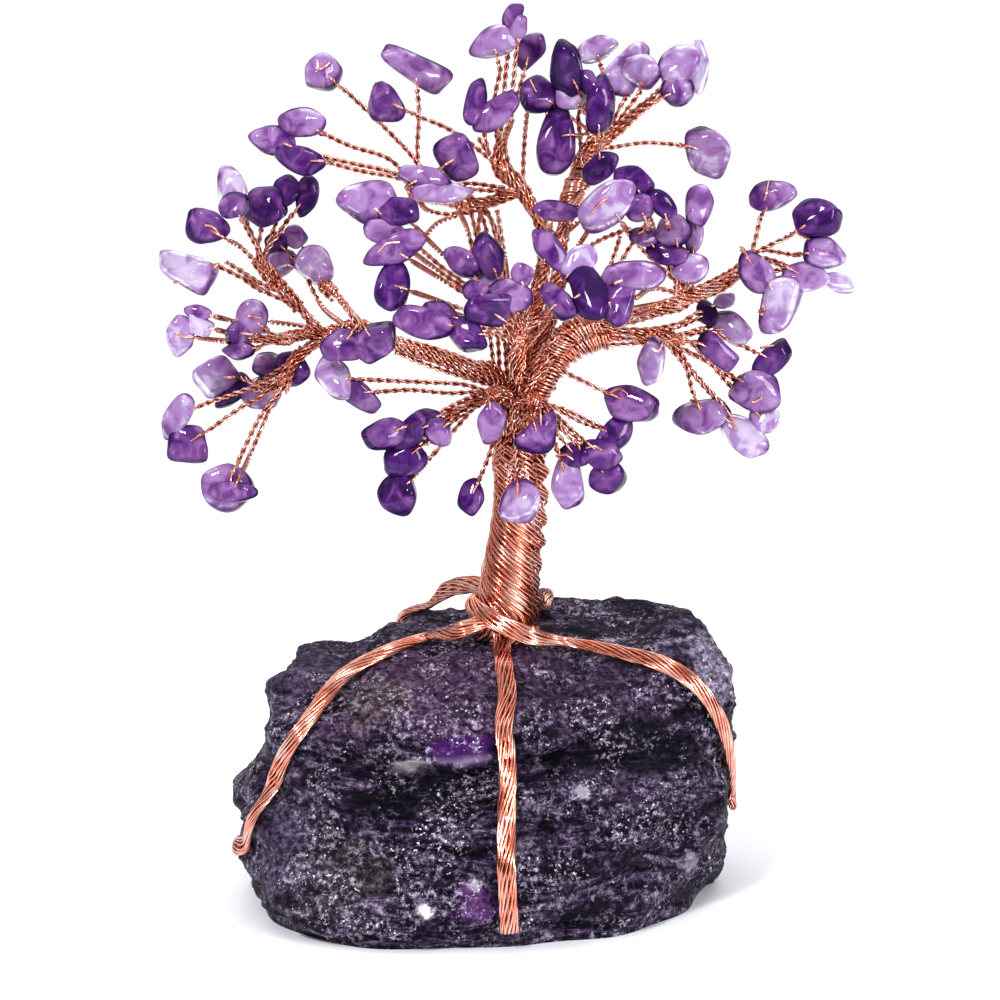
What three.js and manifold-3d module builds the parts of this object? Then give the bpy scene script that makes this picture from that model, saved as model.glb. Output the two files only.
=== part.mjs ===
// A wire tree sculpture: a rough amethyst rock carries a trunk of coiled copper wire, whose
// twisted twigs hold tumbled amethyst chips. Twisted roots of the same wire clasp the rock.
// Millimetres, +Z up, +X to the right and +Y away from the viewer. The origin is on the rock's
// flat underside, below the foot of the trunk.

import * as THREE from "three";
import { mergeVertices } from "three/addons/utils/BufferGeometryUtils.js";
import Module from "manifold-3d";

const wasm = await Module();
wasm.setup();
const { Manifold, Mesh } = wasm;

// The photograph is 1000 pixels square, taken from the front and a little above.
const PIXEL = 0.138;
const PICTURE_MIDDLE = 500;
const EYE_DISTANCE = 600;
const EYE_RISE = THREE.MathUtils.degToRad(12);
const AIM = new THREE.Vector3(-1, 0, 55.7);

const GAP = 0.35;
const TWIG_RADIUS = 0.34;
const KNOT_RADIUS = 1.25;
const CHIP_THICKNESS_SHARE = 0.82;
const CHIP_SIDES = 6;
const CHIP_BANDS = 3;
const CHIP_FULLNESS = 2.6;
const CHIP_SWELL = 1.08;
const CHIP_UNEVEN_AROUND = 0.07;
const CHIP_UNEVEN_ALONG = 0.05;
const CHIP_LEAN = THREE.MathUtils.degToRad(20);
const GOLDEN_ANGLE = 2.4;
const TOUCH_SHARE = 0.76;
const BARK_LOBES = 3;
const BARK_DEPTH = 0.07;

const COPPER = new THREE.MeshStandardMaterial({ color: 0xc4734f, roughness: 0.3, metalness: 1 });
const AMETHYST = new THREE.MeshStandardMaterial({ color: 0x7a4bb0, roughness: 0.12, metalness: 0 });
const ROCK = new THREE.MeshStandardMaterial({ color: 0x3f3550, roughness: 0.6, metalness: 0 });

const tree = new THREE.Group();

const FORWARD = new THREE.Vector3(0, Math.cos(EYE_RISE), -Math.sin(EYE_RISE));
const RIGHT = new THREE.Vector3(1, 0, 0);
const UP = new THREE.Vector3(0, Math.sin(EYE_RISE), Math.cos(EYE_RISE));
const EYE = AIM.clone().addScaledVector(FORWARD, -EYE_DISTANCE);

// The direction from the eye through one pixel of the photograph.
function sightLine(u, v) {
  const across = ((u - PICTURE_MIDDLE) * PIXEL) / EYE_DISTANCE;
  const rise = ((PICTURE_MIDDLE - v) * PIXEL) / EYE_DISTANCE;
  return FORWARD.clone().addScaledVector(RIGHT, across).addScaledVector(UP, rise);
}

// The point seen at a pixel, that many millimetres behind the plane through the trunk.
function place([u, v, depth]) {
  const line = sightLine(u, v);
  return EYE.clone().addScaledVector(line, (depth - EYE.y) / line.y);
}

// Moves each vertex of a closed primitive, once its seams are welded.
function shaped(primitive, move) {
  primitive.deleteAttribute("normal");
  primitive.deleteAttribute("uv");
  const welded = mergeVertices(primitive, 1e-5);
  const position = welded.attributes.position;
  for (let i = 0; i < position.count; i += 1) {
    const moved = move(new THREE.Vector3().fromBufferAttribute(position, i));
    position.setXYZ(i, moved.x, moved.y, moved.z);
  }
  return welded;
}

function solidOf(geometry) {
  const index = geometry.index;
  return new Manifold(
    new Mesh({
      numProp: 3,
      vertProperties: new Float32Array(geometry.attributes.position.array),
      triVerts: new Uint32Array(index.array),
    }),
  );
}

function geometryOf(solid) {
  const mesh = solid.getMesh();
  const geometry = new THREE.BufferGeometry();
  geometry.setAttribute("position", new THREE.BufferAttribute(mesh.vertProperties, 3));
  geometry.setIndex(new THREE.BufferAttribute(mesh.triVerts, 1));
  geometry.computeVertexNormals();
  return geometry;
}

function addNode(name, geometry, material) {
  const node = new THREE.Mesh(geometry, material);
  node.name = name;
  tree.add(node);
}

const joined = (solids) => Manifold.union(solids);

// What is left of a solid once its neighbours have their room: its largest single body.
function fitted(solid, neighbours) {
  const near = neighbours.filter((other) => boxesMeet(solid.boundingBox(), other.boundingBox()));
  const cut = near.length > 0 ? solid.subtract(joined(near)) : solid;
  const bodies = cut.decompose();
  return bodies.reduce((best, body) => (body.volume() > best.volume() ? body : best));
}

function boxesMeet(one, other) {
  return [0, 1, 2].every((axis) => one.min[axis] < other.max[axis] && other.min[axis] < one.max[axis]);
}

// The rock

// Each level of the rock: its height, then how far it reaches left, right, front and back.
const ROCK_LEVELS = [
  [0, 34.5, 28, 28.5, 21],
  [3.5, 36.3, 30, 31, 24],
  [10, 36.2, 31.2, 31, 25.5],
  [15, 36.9, 31.6, 29.5, 25.5],
  [19, 34.4, 31.9, 28, 25],
  [26, 33.6, 32, 24.3, 24.5],
  [31, 32.2, 30.4, 20, 23],
  [34.4, 29, 27.4, 14, 20.5],
  [36, 17, 22.5, 8, 15.5],
];
const ROCK_SIDES = 28;
const ROCK_SQUARENESS = 2.9;
const ROCK_CROWN = 0.5;
// The top rises towards the back and the right and dips at the left, but not at the trunk's foot.
const ROCK_RISE = { height: 2.9, from: -20, over: 26 };
const ROCK_DIP = { depth: 2.2, at: -22, width: 7 };
const ROCK_SEAT = { behind: 1, beside: 14, edge: 12 };
const ROCK_LIFTED = { from: 20, over: 16 };
// The broken corner at the front right: how much it takes off, the way it faces, how narrow it is.
const ROCK_CUT = { share: 0.17, angle: -0.9, narrowness: 6 };
const ROCK_KNOBS = [
  { share: 0.022, around: 5, rise: 0.31 },
  { share: 0.014, around: 11, rise: -0.5 },
];

// Distance from the rock's axis to its skin at one level, in a direction seen from above.
function rockReach([height, left, right, front, back], angle) {
  const x = Math.cos(angle);
  const y = Math.sin(angle);
  const wide = x < 0 ? left : right;
  const deep = y < 0 ? front : back;
  const power = ROCK_SQUARENESS;
  const round = (Math.abs(x / wide) ** power + Math.abs(y / deep) ** power) ** (-1 / power);
  const cut = ROCK_CUT.share * Math.max(0, Math.cos(angle - ROCK_CUT.angle)) ** ROCK_CUT.narrowness;
  const knob = ({ share, around, rise }) => share * Math.sin(around * angle + rise * height);
  return ROCK_KNOBS.reduce((reach, form) => reach + knob(form) * round, round * (1 - cut));
}

function eased(share) {
  const held = Math.min(1, Math.max(0, share));
  return held * held * (3 - 2 * held);
}

// How much higher the rock's skin stands at a place than its level says.
function rockLift(x, y, height) {
  const rise = ROCK_RISE.height * eased((x - ROCK_RISE.from) / ROCK_RISE.over);
  const dip = ROCK_DIP.depth * Math.exp(-(((x - ROCK_DIP.at) / ROCK_DIP.width) ** 2));
  const offSeat = Math.max(y - ROCK_SEAT.behind, Math.abs(x) - ROCK_SEAT.beside);
  const near = Math.min(1, Math.max(0, (height - ROCK_LIFTED.from) / ROCK_LIFTED.over));
  return (rise - dip) * eased(offSeat / ROCK_SEAT.edge) * near;
}

function rockGeometry(swell) {
  const rows = ROCK_LEVELS.length - 1;
  return shaped(new THREE.CylinderGeometry(1, 1, 1, ROCK_SIDES, rows), ({ x, y, z }) => {
    const row = Math.round((y + 0.5) * rows);
    const level = ROCK_LEVELS[row];
    const angle = Math.atan2(-z, x);
    const onAxis = Math.hypot(x, z) < 0.5;
    const reach = onAxis ? 0 : rockReach(level, angle) + swell;
    const crown = row === rows && onAxis ? ROCK_CROWN : 0;
    const lift = row === 0 ? -swell : swell * (row / rows);
    const [across, back] = [reach * Math.cos(angle), reach * Math.sin(angle)];
    return new THREE.Vector3(across, back, level[0] + crown + lift + rockLift(across, back, level[0]));
  });
}

const rockMesh = new THREE.Mesh(rockGeometry(0), new THREE.MeshBasicMaterial({ side: THREE.DoubleSide }));
const rockSolid = solidOf(rockMesh.geometry);
const rockRoom = solidOf(rockGeometry(GAP));
addNode("rock", geometryOf(rockSolid), ROCK);

// The point of the rock's skin that a line from outside meets first, with the way it faces.
function rockSkin(from, direction) {
  const ray = new THREE.Raycaster(from, direction.clone().normalize());
  const hit = ray.intersectObject(rockMesh)[0];
  if (!hit) throw new Error(`no rock met from ${from.toArray()} along ${direction.toArray()}`);
  const facing = hit.face.normal.clone();
  return { point: hit.point, facing: facing.dot(direction) > 0 ? facing.negate() : facing };
}

// A sweep along a curve: a section of the given half width and half thickness, lobed like
// twisted strands. The frame gives the section's two axes at a share of the curve's length.
function ropeGeometry(curve, { rows, sides, half, frame, lobes, lobeDepth, twist, grow = 0 }) {
  return shaped(new THREE.CylinderGeometry(1, 1, 1, sides, rows), ({ x, y, z }) => {
    const share = y + 0.5;
    const centre = curve.getPointAt(share);
    const along = curve.getTangentAt(share);
    const across = frame(share, along);
    const through = across.clone().cross(along).normalize();
    const angle = Math.atan2(z, x);
    const ripple = 1 + lobeDepth * Math.cos(lobes * (angle - twist * share));
    const [wide, thick] = half(share).map((size) => size * ripple + grow);
    const onAxis = Math.hypot(x, z) < 0.5;
    return onAxis ? centre : centre.addScaledVector(across, x * wide).addScaledVector(through, z * thick);
  });
}

// The section axis that lies in the picture, square to the curve.
function pictureFrame(share, along) {
  return new THREE.Vector3().crossVectors(along, FORWARD).normalize();
}

function curveThrough(points) {
  return new THREE.CatmullRomCurve3(points, false, "centripetal");
}

// A value read off a list of [share, value] stations.
function stationed(stations, share) {
  const next = stations.findIndex(([at]) => at >= share);
  if (next <= 0) return stations[Math.max(next, 0)][1];
  const [before, low] = stations[next - 1];
  const [after, high] = stations[next];
  return THREE.MathUtils.lerp(low, high, (share - before) / (after - before));
}

// The trunk

const TRUNK_ROUTE = [
  [506, 637, 0],
  [508, 600, 0],
  [512, 560, 0],
  [518, 510, 0],
  [519, 450, 0],
  [517, 405, 0],
  [517, 384, 0],
];
const TRUNK_RADIUS = [
  [0, 4.7],
  [0.15, 4.5],
  [0.35, 3.7],
  [0.5, 3.5],
  [0.75, 3.5],
  [0.9, 4.0],
  [1, 3.4],
];
const TRUNK_SIDES = 10;
const TRUNK_ROWS = 20;
const TRUNK_TURNS = 3.2;

function trunkGeometry(grow) {
  return ropeGeometry(curveThrough(TRUNK_ROUTE.map(place)), {
    rows: TRUNK_ROWS,
    sides: TRUNK_SIDES,
    half: (share) => [stationed(TRUNK_RADIUS, share), stationed(TRUNK_RADIUS, share)],
    frame: pictureFrame,
    lobes: BARK_LOBES,
    lobeDepth: BARK_DEPTH,
    twist: TRUNK_TURNS * 2 * Math.PI,
    grow,
  });
}

const trunkSolid = fitted(solidOf(trunkGeometry(0)), [rockRoom]);
const trunkRoom = solidOf(trunkGeometry(GAP));
addNode("trunk", geometryOf(trunkSolid), COPPER);

// The roots, twisted straps of wire laid over the rock from the trunk's foot

const STRAP_HALF = [1.35, 0.75];
const STRAP_ROWS = 12;
const STRAP_SIDES = 5;
const STRAP_LOBES = 3;
const STRAP_LOBE_DEPTH = 0.12;
const STRAP_TURN_LENGTH = 14;
const STRAP_SINK = 0.15;

// Roots that show are given by the pixels they pass; the ones behind by points to aim at,
// from above and then from outside. One first arches free from behind the trunk.
const STRAPS = {
  root_left: {
    seen: [[427, 641], [385, 656], [347, 677], [323, 705], [303, 743], [285, 773], [269, 808], [260, 846]],
    reached: [[-70, -3, 9], [-70, 6, 3]],
  },
  root_front: {
    seen: [[503, 668], [507, 698], [504, 730], [506, 767], [506, 822], [506, 870], [509, 918]],
    reached: [],
  },
  root_right: {
    seen: [[564, 646], [616, 655], [661, 667], [695, 689], [717, 722], [726, 758], [727, 795]],
    reached: [[70, -4, 6]],
  },
  root_back_left: {
    free: [[484, 588, 4], [463, 586, 8], [443, 592, 11.5]],
    above: [[-12.5, 15.5], [-16, 19]],
    reached: [[-38, 70, 31], [-36, 70, 22], [-34, 70, 12], [-31, 70, 3]],
  },
  root_back_right: {
    above: [[4.8, 7.5], [5.4, 13]],
    reached: [[16, 70, 33], [17, 70, 24], [18, 70, 13], [18, 70, 3]],
  },
};
const ABOVE_ROCK = 80;

function strapPoints({ free = [], seen = [], above = [], reached = [] }) {
  const down = new THREE.Vector3(0, 0, -1);
  const hits = [
    ...seen.map(([u, v]) => rockSkin(EYE, sightLine(u, v))),
    ...above.map(([x, y]) => rockSkin(new THREE.Vector3(x, y, ABOVE_ROCK), down)),
    ...reached.map(([x, y, z]) => rockSkin(new THREE.Vector3(x, y, z), new THREE.Vector3(-x, -y, 0))),
  ];
  const laid = hits.map(({ point, facing }) => ({
    point: point.clone().addScaledVector(facing, STRAP_HALF[1] - STRAP_SINK),
    facing,
  }));
  return [...free.map((at) => ({ point: place(at), facing: down.clone().negate() })), ...laid];
}

function strapGeometry(strap, grow) {
  const stations = strapPoints(strap);
  const curve = curveThrough(stations.map(({ point }) => point));
  const facingAt = (share) => {
    const at = share * (stations.length - 1);
    const low = Math.min(Math.floor(at), stations.length - 2);
    return stations[low].facing.clone().lerp(stations[low + 1].facing, at - low);
  };
  return ropeGeometry(curve, {
    rows: STRAP_ROWS,
    sides: STRAP_SIDES,
    half: () => STRAP_HALF,
    frame: (share, along) => new THREE.Vector3().crossVectors(facingAt(share), along).normalize(),
    lobes: STRAP_LOBES,
    lobeDepth: STRAP_LOBE_DEPTH,
    twist: (2 * Math.PI * curve.getLength()) / STRAP_TURN_LENGTH,
    grow,
  });
}

const strapRooms = [];
for (const [name, strap] of Object.entries(STRAPS)) {
  const solid = fitted(solidOf(strapGeometry(strap, 0)), [rockRoom, trunkRoom, ...strapRooms]);
  strapRooms.push(solidOf(strapGeometry(strap, GAP)));
  addNode(name, geometryOf(solid), COPPER);
}

// The amethyst chips, in groups that touch. A group names its branch's knot, and its depth is
// that of its first chip. A chip is [u, v, length, width, turn, taper, side, on]: the pixel of
// its middle, its size in millimetres, the anticlockwise turn of its long axis in degrees, how
// much it narrows towards its left end (or its right, below 0), and whether it lies in front of
// (-1), beside (0) or behind (1) the chip it touches, which is the one before it or number `on`.

const CHIPS = {
  chips_left_tip: { knot: "upper_left", depth: -3, chips: [[323, 73, 5.4, 5.2, 20, 0.1]] },
  chips_left_top: {
    knot: "upper_left",
    depth: -9,
    chips: [
      [272, 140, 6.6, 4.2, -5, 0.1],
      [303, 122, 6.8, 4.1, 0, -0.1, 0],
      [299, 160, 7.5, 3.9, -15, 0.2, 1, 0],
    ],
  },
  chips_left_outer_top: {
    knot: "left_fork",
    depth: -10,
    chips: [
      [234, 205, 4.4, 3.8, 30, 0.1],
      [232, 188, 6.1, 4.1, 100, 0.1, 1],
      [207, 228, 6.3, 4.9, -20, 0.3, -1, 0],
    ],
  },
  chips_left_inner_top: {
    knot: "left_fork",
    depth: 2,
    chips: [
      [265, 206, 6.1, 5.8, 30, 0],
      [286, 192, 4.7, 4.1, 60, 0.1, 1],
      [307, 197, 5.8, 3.4, 75, 0.2, -1],
    ],
  },
  chips_left_far: { knot: "left_fork", depth: -5, chips: [[185, 270, 8.6, 5.2, -20, 0.25]] },
  chips_left_inner: {
    knot: "left_inner",
    depth: 8,
    chips: [
      [280, 262, 5.0, 4.1, 30, 0],
      [277, 242, 3.4, 2.9, 10, 0, -1],
      [295, 237, 3.6, 3.4, 0, 0, 0],
      [315, 265, 6.3, 5.2, -50, -0.1, -1, 0],
    ],
  },
  chips_left_side: {
    knot: "left_low",
    depth: -14,
    chips: [
      [180, 336, 6.1, 3.9, 80, -0.1],
      [200, 326, 3.9, 2.7, -20, 0, 1],
      [198, 312, 3.9, 2.0, -12, 0, -1],
    ],
  },
  chips_left_middle: {
    knot: "left_low",
    depth: -7,
    chips: [
      [252, 318, 5.5, 4.4, 70, 0],
      [239, 333, 3.8, 3.5, 0, 0, -1],
      [239, 351, 4.7, 2.6, 0, 0, 1],
    ],
  },
  chips_left_low: {
    knot: "left_fan",
    depth: 4,
    chips: [
      [216, 377, 6.1, 5.0, 30, 0.1],
      [232, 392, 6.3, 3.2, 45, 0.2, 1],
      [261, 394, 5.4, 4.9, 20, 0.1, -1],
      [268, 365, 5.0, 3.9, 10, 0.1, 1],
      [292, 370, 5.5, 5.0, -30, 0, -1],
    ],
  },
  chips_left_hanging: {
    knot: "lower_left",
    depth: -12,
    chips: [
      [335, 378, 6.9, 4.7, -60, -0.2],
      [355, 392, 8.0, 3.5, -35, 0, 1],
    ],
  },
  chips_left_lowest: {
    knot: "left_fan",
    depth: -4,
    chips: [
      [177, 417, 7.2, 3.6, 60, 0.1],
      [187, 444, 5.6, 5.4, 0, 0, 0],
    ],
  },
  chips_left_drop: {
    knot: "left_fan",
    depth: -12,
    chips: [
      [228, 488, 7.2, 6.6, 20, 0.1],
      [233, 492, 7.2, 2.9, 0, 0, -1],
    ],
  },
  chips_top_long: { knot: "upper_left", depth: 5, chips: [[415, 68, 10.8, 4.4, -28, 0.35]] },
  chips_top_left: { knot: "top", depth: -6, chips: [[388, 103, 5.8, 5.2, 80, 0.35]] },
  chips_top_high: {
    knot: "top",
    depth: 4,
    chips: [
      [493, 42, 7.2, 4.4, 20, 0.1],
      [512, 18, 4.2, 2.7, 75, 0.1, 1],
      [519, 28, 3.9, 2.4, 70, 0, -1],
    ],
  },
  chips_top_pair: {
    knot: "top",
    depth: -4,
    chips: [
      [476, 102, 7.2, 3.1, 82, -0.1],
      [496, 113, 7.7, 3.9, 40, 0, -1],
    ],
  },
  chips_top_single: { knot: "top", depth: 12, chips: [[530, 51, 5.9, 3.9, 62, 0.25]] },
  chips_centre_top: {
    knot: "upper_left",
    depth: -14,
    chips: [
      [442, 192, 9.1, 3.1, 0, 0],
      [424, 177, 7.7, 2.9, -8, 0, 1],
    ],
  },
  chips_centre_peak: { knot: "upper_left", depth: -8, chips: [[457, 158, 6.6, 5.2, -60, -0.1]] },
  chips_centre_left: {
    knot: "middle",
    depth: -20,
    chips: [
      [367, 202, 8.6, 6.3, -5, 0.1],
      [400, 212, 6.1, 3.9, -5, 0, -1],
      [386, 232, 6.6, 3.8, -20, 0, 1],
      [394, 250, 9.1, 4.1, 20, 0.1, -1],
      [393, 285, 6.9, 4.7, 80, -0.1, 1],
    ],
  },
  chips_centre_pair: {
    knot: "middle",
    depth: -16,
    chips: [
      [489, 255, 6.3, 4.1, -65, 0],
      [462, 262, 6.1, 3.6, -40, 0, 1],
      [486, 275, 4.3, 3.1, 0, 0, 1, 0],
    ],
  },
  chips_centre_low: {
    knot: "left_small",
    depth: -16,
    chips: [
      [343, 345, 6.3, 4.7, 10, 0],
      [374, 342, 6.9, 5.0, 30, 0, -1],
    ],
  },
  chips_centre_front: {
    knot: "middle",
    depth: -24,
    chips: [
      [488, 310, 6.9, 4.5, -3, 0],
      [509, 296, 6.6, 4.7, -10, 0, 1],
      [522, 275, 3.3, 3.1, 90, 0.2, 1],
      [475, 291, 3.5, 3.0, 0, 0, 1, 0],
      [467, 335, 6.8, 4.3, -35, 0, 1, 0],
      [443, 316, 6.1, 3.5, -35, 0, 1],
      [424, 323, 8.3, 4.4, -10, 0.1, -1],
    ],
  },
  chips_low_left: {
    knot: "lower_left",
    depth: -14,
    chips: [
      [411, 433, 6.3, 3.8, 50, 0],
      [386, 434, 6.3, 4.3, 20, 0, -1],
      [427, 422, 4.6, 3.8, 0, 0, 1, 0],
      [438, 431, 4.6, 3.8, -30, 0, -1],
      [405, 460, 6.2, 5.0, 20, 0, 1, 0],
      [398, 495, 6.1, 5.9, 0, 0, -1],
    ],
  },
  chips_low_small: { knot: "lower_left", depth: -11, chips: [[471, 498, 5.2, 3.7, 85, 0]] },
  chips_low_front: { knot: "lower_left", depth: -10, chips: [[491, 423, 6.3, 3.9, 85, 0.1]] },
  chips_trunk_front: { knot: "lower_right", depth: -13, chips: [[518, 501, 6.2, 6.0, 90, 0.4]] },
  chips_trunk_right: { knot: "lower_right", depth: -9, chips: [[541, 433, 7.5, 5.0, 55, 0]] },
  chips_low_right: {
    knot: "lower_right",
    depth: -5,
    chips: [
      [575, 455, 5.2, 3.6, 0, 0],
      [568, 484, 7.5, 4.7, 90, 0, -1],
      [602, 455, 5.8, 4.3, -20, 0, -1, 0],
      [608, 478, 5.2, 4.6, 30, 0, 1],
      [615, 435, 7.3, 4.1, 45, 0, 1, 2],
      [631, 404, 7.6, 5.2, -5, -0.2, -1],
    ],
  },
  chips_top_right_dark: {
    knot: "top_right",
    depth: 0,
    chips: [
      [557, 137, 10.4, 5.4, 84, -0.35],
      [570, 97, 4.6, 3.6, 0, 0, 0],
      [566, 68, 8.1, 4.8, 100, -0.1, -1],
      [538, 94, 5.4, 5.1, 60, 0, 0, 1],
      [587, 82, 3.9, 3.0, -50, 0, 1, 2],
      [600, 104, 8.3, 4.4, 80, -0.2, -1],
    ],
  },
  chips_top_right_pale: {
    knot: "top_right",
    depth: 10,
    chips: [
      [628, 68, 8.8, 5.0, 58, -0.2],
      [641, 71, 5.7, 4.7, -15, 0, -1],
      [680, 65, 6.2, 5.4, 20, 0, 0],
      [678, 91, 4.9, 4.4, 0, 0, -1],
      [698, 66, 8.0, 3.1, 90, 0, 1, 2],
    ],
  },
  chips_top_right_small: { knot: "top_right", depth: 14, chips: [[596, 49, 5.9, 3.5, 30, 0]] },
  chips_right_knot: { knot: "top_right", depth: -3, chips: [[600, 168, 6.1, 3.6, 40, 0]] },
  chips_right_centre: {
    knot: "right_upper",
    depth: -14,
    chips: [
      [608, 205, 9.1, 5.5, 38, 0],
      [634, 181, 6.4, 3.9, -25, 0, 1],
      [639, 207, 4.6, 4.3, 60, 0, 1, 0],
      [662, 204, 4.8, 3.0, -50, 0, -1],
    ],
  },
  chips_centre_right: { knot: "middle", depth: -10, chips: [[556, 211, 6.3, 3.0, -5, 0]] },
  chips_right_front: {
    knot: "middle",
    depth: -22,
    chips: [
      [588, 291, 9.1, 4.7, -68, 0],
      [616, 301, 7.5, 5.2, 90, 0, 1],
      [634, 275, 8.9, 4.0, -3, 0, -1],
      [578, 263, 5.8, 3.9, 45, 0, 1, 0],
      [549, 249, 6.7, 3.4, -50, 0.1, -1],
      [559, 302, 6.2, 3.4, -45, 0, -1, 0],
    ],
  },
  chips_right_corner: { knot: "top_right", depth: 15, chips: [[708, 153, 8.3, 6.1, -60, 0.1]] },
  chips_right_upper: {
    knot: "right_upper",
    depth: -6,
    chips: [
      [674, 231, 5.1, 4.7, 0, 0],
      [667, 253, 5.9, 3.5, -5, 0, 1],
      [646, 237, 4.7, 2.9, 0, 0, 1, 0],
      [694, 235, 5.2, 2.7, 85, 0, 1, 0],
      [699, 206, 6.0, 4.0, 80, 0.1, -1],
      [690, 268, 5.3, 4.5, 10, 0, -1, 1],
    ],
  },
  chips_right_high: { knot: "right_fork", depth: 9, chips: [[773, 195, 7.0, 4.4, 10, -0.3]] },
  chips_right_outer: {
    knot: "right_fork",
    depth: -3,
    chips: [
      [826, 253, 6.4, 4.6, -10, 0],
      [816, 219, 6.9, 5.5, -15, 0, 1],
      [806, 277, 6.6, 4.3, -10, 0, 1, 0],
      [839, 283, 4.9, 2.6, -20, 0, -1],
      [780, 304, 8.8, 6.0, 78, 0.2, 1, 2],
      [756, 273, 6.8, 4.5, -50, 0, -1],
    ],
  },
  chips_right_inner: {
    knot: "right",
    depth: 5,
    chips: [
      [731, 328, 6.2, 4.3, -38, 0],
      [707, 313, 3.9, 3.0, -60, 0, 1],
      [724, 301, 3.5, 2.2, 15, 0, -1],
    ],
  },
  chips_right_pale: { knot: "right_low", depth: -9, chips: [[651, 362, 6.9, 3.9, 85, 0]] },
  chips_right_small: { knot: "right_low", depth: -6, chips: [[717, 351, 6.3, 3.4, -38, 0]] },
  chips_right_low: {
    knot: "right_low",
    depth: 4,
    chips: [
      [757, 391, 7.2, 6.0, -25, 0],
      [772, 360, 6.3, 3.8, 38, 0.1, 1],
      [763, 420, 4.6, 4.3, 60, 0, 1, 0],
      [742, 434, 8.6, 4.6, -48, 0.1, -1],
      [702, 417, 8.4, 5.0, 5, 0, 1],
    ],
  },
};

function chipAxes(turnDegrees, order) {
  const turn = THREE.MathUtils.degToRad(turnDegrees);
  const lean = CHIP_LEAN * Math.sin(GOLDEN_ANGLE * order);
  const flat = RIGHT.clone().multiplyScalar(Math.cos(turn)).addScaledVector(UP, Math.sin(turn));
  const across = UP.clone().multiplyScalar(Math.cos(turn)).addScaledVector(RIGHT, -Math.sin(turn));
  const along = flat.multiplyScalar(Math.cos(lean)).addScaledVector(FORWARD, Math.sin(lean));
  return { along, across, through: new THREE.Vector3().crossVectors(across, along) };
}

// Half the extent of an ellipse with these half sizes and turn, in the direction (x, y).
function ellipseReach(length, width, turnDegrees, x, y) {
  const angle = Math.atan2(y, x) - THREE.MathUtils.degToRad(turnDegrees);
  return 0.5 / Math.hypot(Math.cos(angle) / length, Math.sin(angle) / width);
}

// How far behind its neighbour a chip lies so that the two touch, for chips as ellipsoids.
function touchingStep(chip, neighbour) {
  const across = (chip[0] - neighbour[0]) * PIXEL;
  const rise = (neighbour[1] - chip[1]) * PIXEL;
  const reach = ellipseReach(chip[2], chip[3], chip[4], across, rise)
    + ellipseReach(neighbour[2], neighbour[3], neighbour[4], across, rise);
  const share = Math.hypot(across, rise) / reach;
  const thickness = (CHIP_THICKNESS_SHARE * (chip[3] + neighbour[3])) / 2;
  return thickness * Math.sqrt(Math.max(0, TOUCH_SHARE ** 2 - share ** 2));
}

function chipGeometry({ centre, length, width, taper, axes, order }, grow) {
  const thickness = width * CHIP_THICKNESS_SHARE;
  return shaped(new THREE.SphereGeometry(1, CHIP_SIDES, CHIP_BANDS), ({ x, y, z }) => {
    const ring = Math.hypot(x, z);
    const full = (1 - Math.abs(y) ** CHIP_FULLNESS) ** (1 / CHIP_FULLNESS);
    const angle = Math.atan2(z, x);
    const uneven = CHIP_SWELL + CHIP_UNEVEN_AROUND * Math.sin(2 * angle + order)
      + CHIP_UNEVEN_ALONG * Math.sin(3 * y + order);
    const size = ring > 1e-3 ? (full * (1 + taper * y) * uneven) / ring : 0;
    return centre.clone()
      .addScaledVector(axes.along, y * (length / 2 + grow))
      .addScaledVector(axes.across, x * size * (width / 2 + grow))
      .addScaledVector(axes.through, z * size * (thickness / 2 + grow));
  });
}

let chipCount = 0;
const chipRooms = [];
const twigEnds = [];
for (const [name, { knot, depth, chips }] of Object.entries(CHIPS)) {
  const depths = [];
  const solids = [];
  for (const [i, chip] of chips.entries()) {
    const [u, v, length, width, turn, taper, side = 0, on = i - 1] = chip;
    depths.push(i === 0 ? depth : depths[on] + side * touchingStep(chip, chips[on]));
    const centre = place([u, v, depths[i]]);
    const body = { centre, length, width, taper, axes: chipAxes(turn, chipCount), order: chipCount };
    solids.push(solidOf(chipGeometry(body, 0)));
    chipRooms.push(solidOf(chipGeometry(body, GAP)));
    chipCount += 1;
  }
  twigEnds.push({ knot, target: [chips[0][0], chips[0][1], depth] });
  const group = joined(solids);
  if (group.decompose().length > 1) throw new Error(`${name} falls apart`);
  addNode(name, geometryOf(group), AMETHYST);
}

// The branches: ropes of bundled wire from the trunk to their knots, and a twig to each group.
// A rope passes these pixels and depths, and its radius is stated at its start and its end.

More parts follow.
